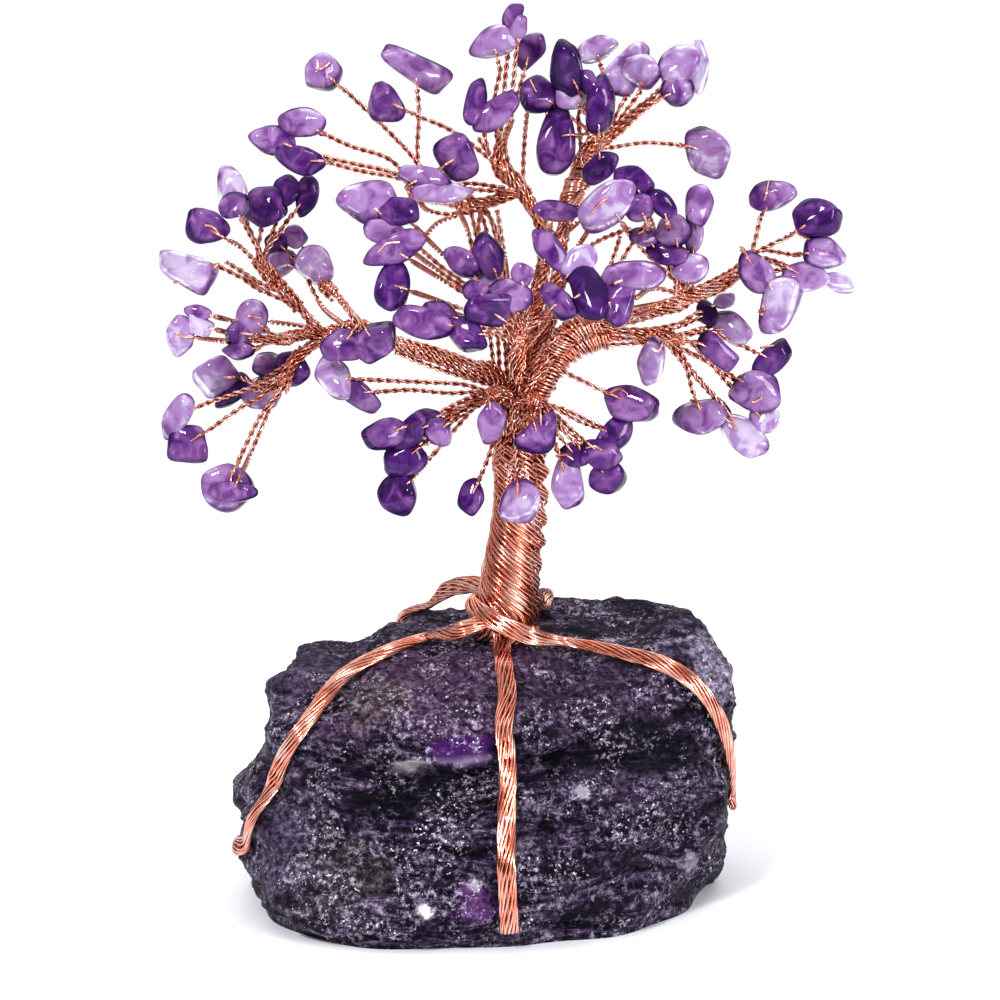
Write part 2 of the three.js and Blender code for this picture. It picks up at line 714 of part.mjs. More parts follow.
const BRANCHES = {
  branch_left: {
    ropes: [
      {
        radius: [1.4, 0.9],
        route: [[499, 378, -1], [470, 368, 0], [440, 357, 1], [395, 342, 2], [357, 326, 3], [322, 335, 3]],
      },
      { radius: [0.8, 0.5], route: [[322, 335, 3], [297, 305, 3], [262, 264, 1]] },
      { radius: [0.6, 0.5], route: [[362, 329, 2.5], [338, 296, 6], [326, 284, 7]] },
      { radius: [0.6, 0.5], route: [[326, 333, 3.5], [280, 340, 0]] },
      { radius: [0.7, 0.5], route: [[340, 333, 3], [300, 352, 2], [284, 386, -1]] },
    ],
    knots: {
      left_fork: [262, 264, 1],
      left_small: [357, 326, 3],
      left_inner: [326, 284, 7],
      left_low: [280, 340, 0],
      left_fan: [284, 386, -1],
    },
  },
  branch_top: {
    ropes: [
      {
        radius: [1.3, 0.9],
        route: [[519, 372, 3], [531, 320, 4], [541, 280, 4], [544, 235, 4], [522, 192, 3], [497, 165, 2]],
      },
    ],
    knots: { top: [497, 165, 2] },
  },
  branch_upper_left: {
    ropes: [{ radius: [0.9, 0.7], route: [[511, 196, 0], [480, 203, 1], [445, 196, 2], [410, 190, 2]] }],
    knots: { upper_left: [410, 190, 2] },
  },
  branch_top_right: {
    ropes: [
      {
        radius: [1.2, 0.9],
        route: [[533, 374, 1], [549, 320, 1], [558, 275, 1], [564, 228, 1], [584, 160, 4], [600, 138, 5]],
      },
    ],
    knots: { top_right: [600, 138, 5] },
  },
  branch_right_upper: {
    ropes: [
      {
        radius: [1.3, 0.7],
        route: [[538, 368, -2], [572, 330, -2], [625, 318, -1], [690, 297, 1], [735, 272, 3], [752, 256, 3]],
      },
    ],
    knots: { right_upper: [684, 299, 1], right_fork: [752, 256, 3] },
  },
  branch_right_low: {
    ropes: [
      {
        radius: [1.2, 0.8],
        route: [[541, 381, -1], [570, 348, 1], [600, 336, 2], [655, 335, 2], [684, 340, 2]],
      },
    ],
    knots: { right: [655, 335, 2], right_low: [684, 340, 2] },
  },
  branch_middle: {
    ropes: [{ radius: [1, 0.8], route: [[516, 378, -5], [520, 350, -5], [521, 326, -6]] }],
    knots: { middle: [521, 330, -6] },
  },
  branch_low_left: {
    ropes: [{ radius: [0.8, 0.7], route: [[505, 396, -6], [484, 396, -6]] }],
    knots: { lower_left: [486, 396, -6] },
  },
  branch_low_right: {
    ropes: [{ radius: [0.8, 0.7], route: [[523, 396, -6], [540, 404, -6]] }],
    knots: { lower_right: [538, 403, -6] },
  },
};
const ROPE_SIDES = 5;
const ROPE_ROW_LENGTH = 4.5;
const ROPE_LOBES = 3;
const ROPE_LOBE_DEPTH = 0.1;
const ROPE_TURN_LENGTH = 12;
const KNOT_SIDES = 5;
const KNOT_BANDS = 3;
const TWIG_SIDES = 3;
const TWIG_STEPS = 2;
const TWIG_BEND_SHARE = 0.62;
const BEHIND_CHIPS = 1.5;

function branchRope({ radius, route }, grow) {
  const curve = curveThrough(route.map(place));
  const length = curve.getLength();
  const half = (share) => THREE.MathUtils.lerp(radius[0], radius[1], share);
  return solidOf(ropeGeometry(curve, {
    rows: Math.max(2, Math.round(length / ROPE_ROW_LENGTH)),
    sides: ROPE_SIDES,
    half: (share) => [half(share), half(share)],
    frame: pictureFrame,
    lobes: ROPE_LOBES,
    lobeDepth: ROPE_LOBE_DEPTH,
    twist: (2 * Math.PI * length) / ROPE_TURN_LENGTH,
    grow,
  }));
}

// A twig runs behind the other chips, then comes forward to its own.
function twig(knot, target, grow) {
  const [u, v, depth] = target;
  const bend = [
    THREE.MathUtils.lerp(knot[0], u, TWIG_BEND_SHARE),
    THREE.MathUtils.lerp(knot[1], v, TWIG_BEND_SHARE),
    Math.max(knot[2], depth) + BEHIND_CHIPS * Math.sign(knot[2] - depth),
  ];
  const path = new THREE.QuadraticBezierCurve3(place(knot), place(bend), place([u, v, depth]));
  const radius = TWIG_RADIUS + grow;
  const corners = Array.from({ length: TWIG_SIDES }, (_, i) => {
    const angle = (2 * Math.PI * i) / TWIG_SIDES;
    return new THREE.Vector2(radius * Math.cos(angle), radius * Math.sin(angle));
  });
  const extrusion = new THREE.ExtrudeGeometry(new THREE.Shape(corners), {
    steps: TWIG_STEPS,
    bevelEnabled: false,
    extrudePath: path,
  });
  return solidOf(shaped(extrusion, (vertex) => vertex));
}

function branchSolid({ ropes, knots }, grow) {
  const twigs = twigEnds
    .filter(({ knot }) => knot in knots)
    .map(({ knot, target }) => twig(knots[knot], target, grow));
  const balls = Object.values(knots).map((at) => {
    const ball = new THREE.SphereGeometry(KNOT_RADIUS + grow, KNOT_SIDES, KNOT_BANDS);
    return solidOf(shaped(ball, (vertex) => vertex.add(place(at))));
  });
  return joined([...ropes.map((rope) => branchRope(rope, grow)), ...balls, ...twigs]);
}

const branchRooms = [];
for (const [name, branch] of Object.entries(BRANCHES)) {
  const neighbours = [rockRoom, trunkRoom, ...strapRooms, ...chipRooms, ...branchRooms];
  const solid = fitted(branchSolid(branch, 0), neighbours);
  branchRooms.push(branchSolid(branch, GAP));
  addNode(name, geometryOf(solid), COPPER);
}

export default tree;
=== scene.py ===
import itertools
import math
from collections import namedtuple

import bpy
import numpy as np
from mathutils import Matrix, Vector
from mathutils.bvhtree import BVHTree


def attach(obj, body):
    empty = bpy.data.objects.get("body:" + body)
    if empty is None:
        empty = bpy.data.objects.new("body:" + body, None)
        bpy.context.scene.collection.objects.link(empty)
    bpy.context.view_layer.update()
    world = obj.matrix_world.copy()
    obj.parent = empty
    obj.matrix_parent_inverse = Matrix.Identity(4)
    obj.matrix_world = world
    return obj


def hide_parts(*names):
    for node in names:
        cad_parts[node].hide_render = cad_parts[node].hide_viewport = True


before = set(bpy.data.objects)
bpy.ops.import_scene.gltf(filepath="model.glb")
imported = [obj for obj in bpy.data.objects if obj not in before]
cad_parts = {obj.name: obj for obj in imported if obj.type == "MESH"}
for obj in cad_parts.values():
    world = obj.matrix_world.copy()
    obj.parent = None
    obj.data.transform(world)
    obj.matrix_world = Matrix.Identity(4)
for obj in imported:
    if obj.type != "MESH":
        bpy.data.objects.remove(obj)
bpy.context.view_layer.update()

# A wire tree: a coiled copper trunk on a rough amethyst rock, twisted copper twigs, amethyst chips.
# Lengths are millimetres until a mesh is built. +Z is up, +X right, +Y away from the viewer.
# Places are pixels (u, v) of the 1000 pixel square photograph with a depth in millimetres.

MM = 0.001
TURN = 2 * math.pi
PICTURE = 1000
# How wide a pixel is where the camera aims, how far off the camera is, how steeply it looks down
# and where it aims.
PIXEL = 0.138
EYE_DISTANCE = 600
EYE_RISE = math.radians(12)
AIM = np.array([-1, 0, 55.7])
FORWARD = np.array([0, math.cos(EYE_RISE), -math.sin(EYE_RISE)])
RIGHT = np.array([1.0, 0, 0])
UP = np.array([0, math.sin(EYE_RISE), math.cos(EYE_RISE)])
EYE = AIM - EYE_DISTANCE * FORWARD


# Places and curves

# Steps for each point of a smooth curve, before they are made even.
CURVE_STEPS = 24
# A prime for each coordinate, one for the seed, then the shift and the factor of each mixing round.
HASH_PRIMES = np.array([73856093, 19349663, 83492791])
HASH_SEED_PRIME = 15485863
HASH_ROUNDS = ((13, 1274126177), (15, 40503))
HASH_MASK = 0x7FFFFFFF


def sight_line(pixels):
    """The direction from the eye through each pixel: forward, plus its offset from the middle."""
    offset = (np.asarray(pixels, float)[..., :2] - PICTURE / 2) * PIXEL / EYE_DISTANCE
    return FORWARD + offset[..., :1] * RIGHT - offset[..., 1:] * UP


def place(route):
    """The point on each sight line whose y is the stated depth."""
    route = np.asarray(route, float)
    line = sight_line(route)
    return EYE + line * ((route[..., 2] - EYE[1]) / line[..., 1])[..., None]


def pixel_of(points):
    """The pixel at which each point is seen, by the same sight lines."""
    offset = points - EYE
    scale = EYE_DISTANCE / PIXEL / (offset @ FORWARD)
    return np.stack([offset @ RIGHT * scale, -(offset @ UP) * scale], axis=-1) + PICTURE / 2


def unit(vectors):
    return vectors / np.linalg.norm(vectors, axis=-1, keepdims=True)


def travelled(path):
    """The distance along a path to each of its points."""
    steps = np.linalg.norm(np.diff(path, axis=0), axis=1)
    return np.concatenate([[0], np.cumsum(steps)])


def evenly(path, count):
    """The same path at `count` points an equal distance apart."""
    distance = travelled(path)
    even = np.linspace(0, distance[-1], count)
    return np.stack([np.interp(even, distance, column) for column in path.T], axis=1)


def smooth_path(points, count):
    """A centripetal Catmull-Rom curve through the points, at even steps. Between two points it is
    the blend of blends of the lines through them and their neighbours, timed by the square root
    of the gaps."""
    points = np.asarray(points, float)
    if len(points) == 2:
        return evenly(points, count)
    ends = 2 * points[[0, -1]] - points[[1, -2]]
    knots = np.vstack([ends[:1], points, ends[1:]])
    gaps = np.sqrt(np.linalg.norm(np.diff(knots, axis=0), axis=1))
    times = np.concatenate([[0], np.cumsum(gaps)])
    now = np.linspace(times[1], times[-2], CURVE_STEPS * len(points))
    span = np.clip(np.searchsorted(times, now, side="right") - 1, 1, len(knots) - 3)

    def mix(one, other, first, last):
        share = ((now - times[first]) / (times[last] - times[first]))[:, None]
        return one + (other - one) * share

    low = mix(knots[span - 1], knots[span], span - 1, span)
    middle = mix(knots[span], knots[span + 1], span, span + 1)
    high = mix(knots[span + 1], knots[span + 2], span + 1, span + 2)
    return evenly(mix(mix(low, middle, span - 1, span + 1), mix(middle, high, span, span + 2),
                      span, span + 1), count)


def frame_along(path):
    """Two unit vectors square to the path and to each other. The first is square to whichever
    picture direction the path comes least near to."""
    tangent = unit(np.gradient(path, axis=0))
    square = np.cross(tangent, np.stack([FORWARD, RIGHT, UP])[:, None])
    guide = np.linalg.norm(square, axis=2).min(axis=1).argmax()
    across = unit(square[guide])
    return across, np.cross(tangent, across)


def hash_values(cells, seed):
    """A repeatable random number from -1 to 1 for each whole-numbered cell: its coordinates and the
    seed times their primes, then folded on itself and multiplied twice."""
    key = cells.astype(np.int64) @ HASH_PRIMES + seed * HASH_SEED_PRIME
    for shift, factor in HASH_ROUNDS:
        key = (key ^ (key >> shift)) * factor & HASH_MASK
    return 2 * key / (HASH_MASK + 1) - 1


def eased(share):
    """A share from 0 to 1, made to start and end level: its square times three less twice it."""
    return share * share * (3 - 2 * share)


def noise(points, seed=0):
    """Smooth noise from -1 to 1: random values at whole coordinates, eased between them."""
    cell = np.floor(points)
    ease = eased(points - cell)
    total = 0
    for corner in itertools.product((0, 1), repeat=3):
        weight = np.prod(np.where(corner, ease, 1 - ease), axis=-1)
        total = total + weight * hash_values(cell + corner, seed)
    return total


def layered_noise(points, layers, seed=0):
    """Noise at several sizes: each layer is twice as fine and half as strong as the last."""
    return sum(noise(points * 2**i, seed + i) / 2**i for i in range(layers))


def noise_walk(along, lane):
    """A straight walk through the noise. Each wire of a bundle has a lane of its own."""
    return np.stack([along, along * 0 + lane, along * 0], axis=1)


# Meshes


def stack_faces(rows, sides):
    """The squares over a stack of closed rings, and those that close both ends."""
    index = np.arange(rows * sides).reshape(rows, sides)
    low, high = index[:-1], index[1:]
    walls = np.stack([low, np.roll(low, -1, 1), np.roll(high, -1, 1), high], axis=-1)
    first = np.arange(1, sides - 1, 2)
    cap = np.stack([0 * first, first, first + 1, (first + 2) % sides], axis=-1)
    return np.concatenate([walls.reshape(-1, 4), index[0][cap[:, ::-1]], index[-1][cap]])


def wire(path, radius, sides=6, outward=None):
    """A round wire: circles square to the path. Outward, where given, is a direction that the
    circles are lined up with, so that a tightly wound wire doesn't twist in itself."""
    tangent = unit(np.gradient(path, axis=0))
    if outward is None:
        across, through = frame_along(path)
    else:
        across = unit(outward - np.sum(outward * tangent, axis=1, keepdims=True) * tangent)
        through = np.cross(tangent, across)
    angle = np.linspace(0, TURN, sides, endpoint=False)[:, None]
    circle = np.cos(angle) * across[:, None] + np.sin(angle) * through[:, None]
    size = np.broadcast_to(radius, len(path))[:, None, None]
    rings = path[:, None] + size * circle
    return rings.reshape(-1, 3), stack_faces(len(path), sides)


def build(name, parts, material, stands_for=(), attributes=None):
    """Joins parts, each its points and its four-cornered faces, into one piece of the tree."""
    points = np.concatenate([part[0] for part in parts]) * MM
    shift = np.cumsum([0] + [len(part[0]) for part in parts[:-1]])
    faces = np.concatenate([part[1] + start for part, start in zip(parts, shift)])
    mesh = bpy.data.meshes.new(name)
    mesh.vertices.add(len(points))
    mesh.vertices.foreach_set("co", points.astype(np.float32).ravel())
    mesh.loops.add(faces.size)
    mesh.loops.foreach_set("vertex_index", faces.astype(np.int32).ravel())
    mesh.polygons.add(len(faces))
    mesh.polygons.foreach_set("loop_start", np.arange(0, faces.size, 4, dtype=np.int32))
    mesh.update(calc_edges=True)
    mesh.polygons.foreach_set("use_smooth", np.ones(len(faces), bool))
    for attribute, values in (attributes or {}).items():
        kind, field = ("FLOAT", "value") if values.ndim == 1 else ("FLOAT_COLOR", "color")
        layer = mesh.attributes.new(attribute, kind, "POINT")
        layer.data.foreach_set(field, values.astype(np.float32).ravel())
    mesh.materials.append(material)
    piece = bpy.data.objects.new(name, mesh)
    bpy.context.scene.collection.objects.link(piece)
    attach(piece, "root")
    if stands_for:
        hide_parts(*stands_for)
    return piece


# Materials


def colour(hex_code):
    """An sRGB hex colour as the linear red, green, blue and alpha that shaders read. The numbers
    are those of the sRGB standard's curve."""
    channels = np.array([int(hex_code[i:i + 2], 16) for i in (1, 3, 5)]) / 255
    linear = np.where(channels <= 0.04045, channels / 12.92, ((channels + 0.055) / 1.055) ** 2.4)
    return (*linear, 1.0)


def fill(tree, node, inputs):
    """Fills a node's inputs, by values or by other nodes' outputs."""
    for name, value in inputs.items():
        if isinstance(value, bpy.types.NodeSocket):
            tree.links.new(value, node.inputs[name])
        else:
            node.inputs[name].default_value = value


def add(tree, kind, inputs=None, **settings):
    """Adds a node, with its settings and its inputs."""
    node = tree.nodes.new("ShaderNode" + kind)
    for name, value in settings.items():
        setattr(node, name, value)
    fill(tree, node, inputs or {})
    return node


def speckle(tree, point, scale, detail, roughness=0.5, distortion=0.0):
    """The value, from 0 to 1, of a noise texture."""
    inputs = {"Vector": point, "Scale": scale, "Detail": detail, "Roughness": roughness,
              "Distortion": distortion}
    return add(tree, "TexNoise", inputs).outputs["Fac"]


def mixed(tree, share, one, other, blend="MIX"):
    """Two colours mixed by a share, or multiplied by a share."""
    node = add(tree, "Mix", {0: share, 6: one, 7: other}, data_type="RGBA", blend_type=blend)
    return node.outputs[2]


def ramp(tree, share, stops):
    """A colour ramp through (place, hex colour) stops."""
    node = add(tree, "ValToRGB", {"Fac": share})
    elements = node.color_ramp.elements
    while len(elements) < len(stops):
        elements.new(0.5)
    for element, (at, code) in zip(elements, stops):
        element.position = at
        element.color = colour(code)
    return node.outputs["Color"]


def new_material(name):
    """A material with its shader, its output and a coordinate in millimetres on the object."""
    material = bpy.data.materials.new(name)
    material.use_nodes = True
    tree = material.node_tree
    tree.nodes.clear()
    shader = add(tree, "BsdfPrincipled")
    add(tree, "OutputMaterial", {"Surface": shader.outputs["BSDF"]})
    coordinates = add(tree, "TexCoord")
    in_mm = add(tree, "Mapping", {"Vector": coordinates.outputs["Object"], "Scale": (1 / MM,) * 3})
    return material, tree, shader, in_mm.outputs["Vector"]


def copper_wire():
    """Bare drawn copper craft wire: a warm rose metal, smooth and bright, a little browner in
    patches where handling has dulled it."""
    material, tree, shader, point = new_material("drawn_copper_wire")
    patches = speckle(tree, point, 0.45, 3.0)
    tint = ramp(tree, patches, [(0.3, "#D07A60"), (0.5, "#E89E88"), (0.7, "#F8CABC")])
    fill(tree, shader, {"Base Color": tint, "Metallic": 1.0, "Roughness": 0.2})
    return material


def tumbled_amethyst():
    """Tumbled and polished amethyst: quartz whose violet lies in soft clouds, from near black to
    almost colourless, with a wet shine. The paler a place is, the more light goes through it."""
    material, tree, shader, point = new_material("tumbled_amethyst")
    # The tone attribute holds each chip's tone, darkened at its rim as painted shade.
    tone = add(tree, "Attribute", attribute_name="tone")
    clouds = speckle(tree, point, 0.42, 4.0, distortion=0.8)
    spread = add(tree, "Math", {0: clouds, 1: 0.5}, operation="SUBTRACT")
    cloudy = add(tree, "Math", {0: spread.outputs["Value"], 1: 1.5, 2: tone.outputs["Fac"]},
                 operation="MULTIPLY_ADD").outputs["Value"]
    violet = ramp(tree, cloudy, [
        (0.0, "#240E3C"), (0.2, "#40195A"), (0.42, "#623A72"), (0.62, "#835E91"),
        (0.82, "#9C7CB1"), (1.0, "#D0C0DF"),
    ])
    clear = ramp(tree, cloudy, [(0.55, "#000000"), (1.0, "#B8B8B8")])
    fill(tree, shader, {"Base Color": violet, "Roughness": 0.04, "IOR": 1.544,
                        "Specular IOR Level": 0.12, "Transmission Weight": clear})
    return material


def rough_amethyst():
    """Unpolished massive amethyst: dark violet to blue-black quartz in slanting streaks, with
    chalky grey-lilac bruises, coloured patches, a grain whose dark lows are partly painted shade,
    and many tiny painted glints for bright crystal faces. The bruises and the painted glints come in
    drifts, and a strong patch has less of the grain and its painted shade."""
    material, tree, shader, point = new_material("rough_amethyst")
    stretched = add(tree, "Mapping", {"Vector": point, "Scale": (0.07, 0.07, 0.3),
                                      "Rotation": (0.1, -0.2, 0)})
    streaks = speckle(tree, stretched.outputs["Vector"], 1.6, 12.0, 0.74, 1.2)
    body = ramp(tree, streaks, [
        (0.35, "#05010A"), (0.44, "#130A20"), (0.5, "#30243F"), (0.56, "#5F4F6B"), (0.64, "#A599AE"),
    ])
    # The patch attribute holds the coloured patches, with the painted highlight and painted shadow of the
    # ledge.
    patch = add(tree, "Attribute", attribute_name="patch")
    patched = mixed(tree, patch.outputs["Alpha"], body, patch.outputs["Color"])
    grains = speckle(tree, point, 1.1, 8.0, 0.8)
    # Partly the grain's own dark and light, partly painted shade: the same noise is the bump's height, so
    # the colour darkens in the bump's hollows.
    shade = ramp(tree, grains, [(0.4, "#1C1824"), (0.5, "#A8A2AE"), (0.57, "#FFFFFF")])
    grain_shade_share = ramp(tree, patch.outputs["Alpha"], [(0.8, "#FFFFFF"), (1.0, "#606060")])
    shaded = mixed(tree, grain_shade_share, patched, shade, "MULTIPLY")
    drifts = ramp(tree, speckle(tree, point, 0.17, 5.0, 0.6), [(0.44, "#202020"), (0.58, "#FFFFFF")])
    bruises = ramp(tree, grains, [(0.53, "#000000"), (0.62, "#FFFFFF")])
    bruising = mixed(tree, 1.0, bruises, drifts, "MULTIPLY")
    bruised = mixed(tree, bruising, shaded, colour("#B5A8C0"))
    # Painted glints: tiny near-white specks mixed into the base colour, in drifts, for light caught by
    # small crystal faces.
    painted_glints = ramp(tree, speckle(tree, point, 1.9, 3.0, 0.65), [(0.63, "#000000"), (0.66, "#FFFFFF")])
    painted_glint_share = mixed(tree, 1.0, painted_glints, drifts, "MULTIPLY")
    with_painted_glints = mixed(tree, painted_glint_share, bruised, colour("#F4EEFA"))
    bump = add(tree, "Bump", {"Height": grains, "Strength": 0.9, "Distance": 0.6 * MM})
    fill(tree, shader, {"Base Color": with_painted_glints, "Roughness": 0.45, "Specular IOR Level": 0.06,
                        "Normal": bump.outputs["Normal"]})
    return material


COPPER = copper_wire()
AMETHYST = tumbled_amethyst()
ROUGH_AMETHYST = rough_amethyst()


# The rock

# Each level of the rock: its height, then how far it reaches left, right, front and back.
ROCK_LEVELS = [
    (0, 34.5, 28, 28.5, 21), (3.5, 36.3, 30, 31, 24), (10, 36.2, 31.2, 31, 25.5),
    (15, 36.9, 31.6, 29.5, 25.5), (19, 34.4, 31.9, 28, 25), (26, 33.6, 32, 24.3, 24.5),
    (31, 32.2, 30.4, 20, 23), (34.4, 29, 27.4, 14, 20.5), (36, 17, 22.5, 8, 15.5),
]
ROCK_SQUARENESS = 2.9
ROCK_SIDES = 380
ROCK_ROWS = 176
CLOSING_RINGS = 28
# The top rises this much further to its middle. The least closing ring is this share of the widest.
ROCK_CROWN = 0.5
SMALLEST_RING = 0.02
ROCK_MIDDLE = np.array([0, 0, 18.0])
# The relief moves the skin away from the rock's middle, more steeply by this factor, and fades to
# nothing below this height.
STEEPNESS = (1, 1, 1.6)
FOOT_HEIGHT = 1.5
# The broken corner: how deep its cut is, its angle round the rock and how narrow it is. Each round
# of knobs: their size, how many and how far they turn for each millimetre of height.
BROKEN_CORNER = (0.17, -0.9, 6)
KNOBS = [(0.022, 5, 0.31), (0.014, 11, -0.5)]
# The top rises from the left to the right and dips near its left end, but not at the trunk's foot.
RISE = 2.9
RISE_ACROSS = (-20, 6)
DIP = 2.2
DIP_AT = -22
DIP_WIDTH = 7
SEAT_BACK = 1
SEAT_HALF = 14
SEAT_EDGE = 12
TOP_HEIGHTS = (20, 36)
# The fracture across the front: the height of its lip at its lowest and where that is, how it curves
# up to either side, how ragged it is, how deep the hollow under it is and how it fades and starts.
LEDGE_HEIGHT = 24.3
LEDGE_LOWEST = -8
LEDGE_CURVE = 0.008
LEDGE_RAGGED = 0.9
LEDGE_RAG_LENGTH = 3.5
LEDGE_DEPTH = 3.2
LEDGE_FADE = 6
LEDGE_SHARPNESS = 0.18
# It fades out between these distances to the side and these depths, and is weaker at the right.
LEDGE_ENDS = (16, 30)
LEDGE_FRONT = (-12, 0)
LEDGE_RIGHT = 0.55
# Its pale lip, a painted highlight, and the dark hollow under it, painted shadow: the colour, how
# far below the lip its middle lies, its spread and its strength.
LEDGE_HIGHLIGHT_AND_SHADE = [("#9A8DA4", -0.5, 0.5, 0.7), ("#08050E", 1.6, 1.5, 0.9)]
# The directions across the flat sides of the breaks, how much the breaks are scattered and how much
# their depths differ.
CLEAVAGE = np.array([[1.0, 0.5, -0.3], [-0.4, 1.0, 0.4], [0.3, -0.5, 1.0]])
BREAK_SCATTER = 0.45
BREAK_DEPTHS = 0.3
# Each size of break: its strength, its width, its height, its slant and its seed.
BREAKS = [(3.6, 15, 9, 0.1, 51), (1.6, 5, 2.4, 0.15, 61)]
RIDGE_HEIGHT = 0.9
RIDGE_MEAN = 0.75
GRIT_HEIGHT = 0.35
GRIT_SIZE = (2.0, 2.0, 1.2)
# The relief as a whole: its strength, how far it lies in, and how far it may stand out.
RELIEF = 0.8
RELIEF_INSET = 0.1
RELIEF_LIMIT = 0.8
# Coloured patches of the front: the middle and half size in pixels, the colour, its strength.
PATCHES = {
    "pink-violet slope": ((430, 690), (110, 62), "#6B4E70", 0.75),
    "pink-violet middle": ((590, 700), (95, 48), "#54405C", 0.6),
    "yellowish quartz": ((375, 700), (38, 34), "#857670", 0.55),
    "lilac shoulder": ((300, 670), (40, 26), "#7A6A86", 0.6),
    "deep violet": ((462, 752), (40, 16), "#451660", 0.95),
    "white quartz": ((408, 765), (24, 8), "#CFC6CC", 1.0),
    "grey patch": ((345, 870), (60, 48), "#55524F", 0.6),
    "lilac heel": ((285, 855), (34, 42), "#6F6680", 0.6),
    "violet inclusion": ((476, 906), (24, 20), "#6C3F7C", 0.9),
    "white spot low": ((426, 911), (9, 8), "#E4DEE6", 1.0),
    "white spot above it": ((477, 884), (8, 4), "#D8D0DA", 0.9),
    "white spot right": ((583, 794), (8, 7), "#CFC9D8", 1.0),
    "white spot far right": ((690, 861), (9, 13), "#A79DB0", 0.9),
    "pale edge": ((712, 668), (24, 52), "#A79FB4", 0.8),
    "lilac streak": ((640, 790), (70, 22), "#5C4C68", 0.55),
    # The two blue-black patches are the rock's own dark colour and also painted shade under the ledge's
    # lip.
    "blue-black": ((650, 748), (80, 22), "#0B0C18", 0.85),
    "blue-black left": ((440, 800), (80, 26), "#0D0E19", 0.75),
}
# A patch's noise: its strength and its size. Its edge, as a share of its half size, and its softness.
# How whole the bands of the lip are where the noise is nought, and the depths that patches reach.
RAGGED = 0.6
RAG_SIZE = (5, 5, 2.5)
PATCH_EDGE = 1.1
PATCH_SOFTNESS = 0.3
BAND_WHOLE = 0.9
FRONT_DEPTHS = (-6, 6)


def rock_reach(levels, angle):
    """The superellipse through a level's four reaches, with one corner broken off and two rounds
    of low knobs. The cut is a power of the cosine of the angle from the corner."""
    height, left, right, front, back = np.moveaxis(levels[:, None], -1, 0)
    x, y = np.cos(angle), np.sin(angle)
    wide = np.where(x < 0, left, right)
    deep = np.where(y < 0, front, back)
    power = ROCK_SQUARENESS
    reach = (np.abs(x / wide)**power + np.abs(y / deep)**power)**(-1 / power)
    depth, middle, narrowness = BROKEN_CORNER
    cut = depth * np.clip(np.cos(angle - middle), 0, None)**narrowness
    knobs = sum(size * np.sin(count * angle + turn * height) for size, count, turn in KNOBS)
    return reach * (1 - cut + knobs)


def rock_lift(x, y, height):
    """How much higher the skin stands at a place than its level says."""
    across = eased(np.interp(x, RISE_ACROSS, (0, 1)))
    off_seat = eased(np.interp(np.maximum(y - SEAT_BACK, np.abs(x) - SEAT_HALF), (0, SEAT_EDGE), (0, 1)))
    near_top = np.interp(height, TOP_HEIGHTS, (0, 1))
    return (RISE * across - DIP * np.exp(-((x - DIP_AT) / DIP_WIDTH)**2)) * off_seat * near_top


def breaks(point, seed):
    """Angular breaks, as massive quartz leaves: round scattered seeds lie pits with flat sides. A
    place takes the pit that is deepest there, so that the pits meet in sharp ridges. The three
    directions of the sides lean, and each pit has a depth of its own."""
    cell = np.floor(point)
    skin = np.full(len(point), np.inf)
    for step in itertools.product((-1, 0, 1), repeat=3):
        near = cell + step
        jitter = np.stack([hash_values(near, seed + axis) for axis in range(3)], axis=1)
        gap = (point - near - 0.5 - BREAK_SCATTER * jitter) @ CLEAVAGE
        skin = np.minimum(skin, np.abs(gap).max(axis=1) + BREAK_DEPTHS * hash_values(near, seed + 3))
    return skin


def ledge(point):
    """The fracture across the front: how far below its ragged lip each point lies, and how much of
    the fracture there is at that place."""
    x, y, z = point.T
    ragged = LEDGE_RAGGED * noise(point / LEDGE_RAG_LENGTH, seed=31)
    lip = LEDGE_HEIGHT + LEDGE_CURVE * (x - LEDGE_LOWEST)**2 + ragged
    share = np.interp(y, LEDGE_FRONT, (1, 0)) * np.interp(np.abs(x), LEDGE_ENDS, (1, 0))
    return lip - z, share * np.where(x < 0, 1, LEDGE_RIGHT)


def slanted(point, width, height, slant):
    """Each point, in widths to the side and in heights upward, along layers that slant sideways."""
    x, y, z = point.T
    return np.stack([x / width, y / width, (z + slant * x) / height], axis=1)


def rock_relief(point):
    """How far the skin stands out: angular breaks of two sizes, slanting ridges, a fine grit, and
    the hollow under the lip across the front, which starts sharply and fades downward."""
    ridges = 1 - np.abs(layered_noise(slanted(point, 16, 2.4, 0.15), 3, seed=11))
    grit = layered_noise(point / GRIT_SIZE, 4, seed=23)
    relief = sum(strength * (breaks(slanted(point, *size), seed) - 0.5) for strength, *size, seed in BREAKS)
    relief = relief + RIDGE_HEIGHT * (ridges - RIDGE_MEAN) + GRIT_HEIGHT * grit
    drop, share = ledge(point)
    fade = np.exp(-np.clip(drop, 0, None) / LEDGE_FADE)
    undercut = -LEDGE_DEPTH * share * fade / (1 + np.exp(-drop / LEDGE_SHARPNESS))
    return np.clip(RELIEF * relief - RELIEF_INSET, None, RELIEF_LIMIT) + undercut


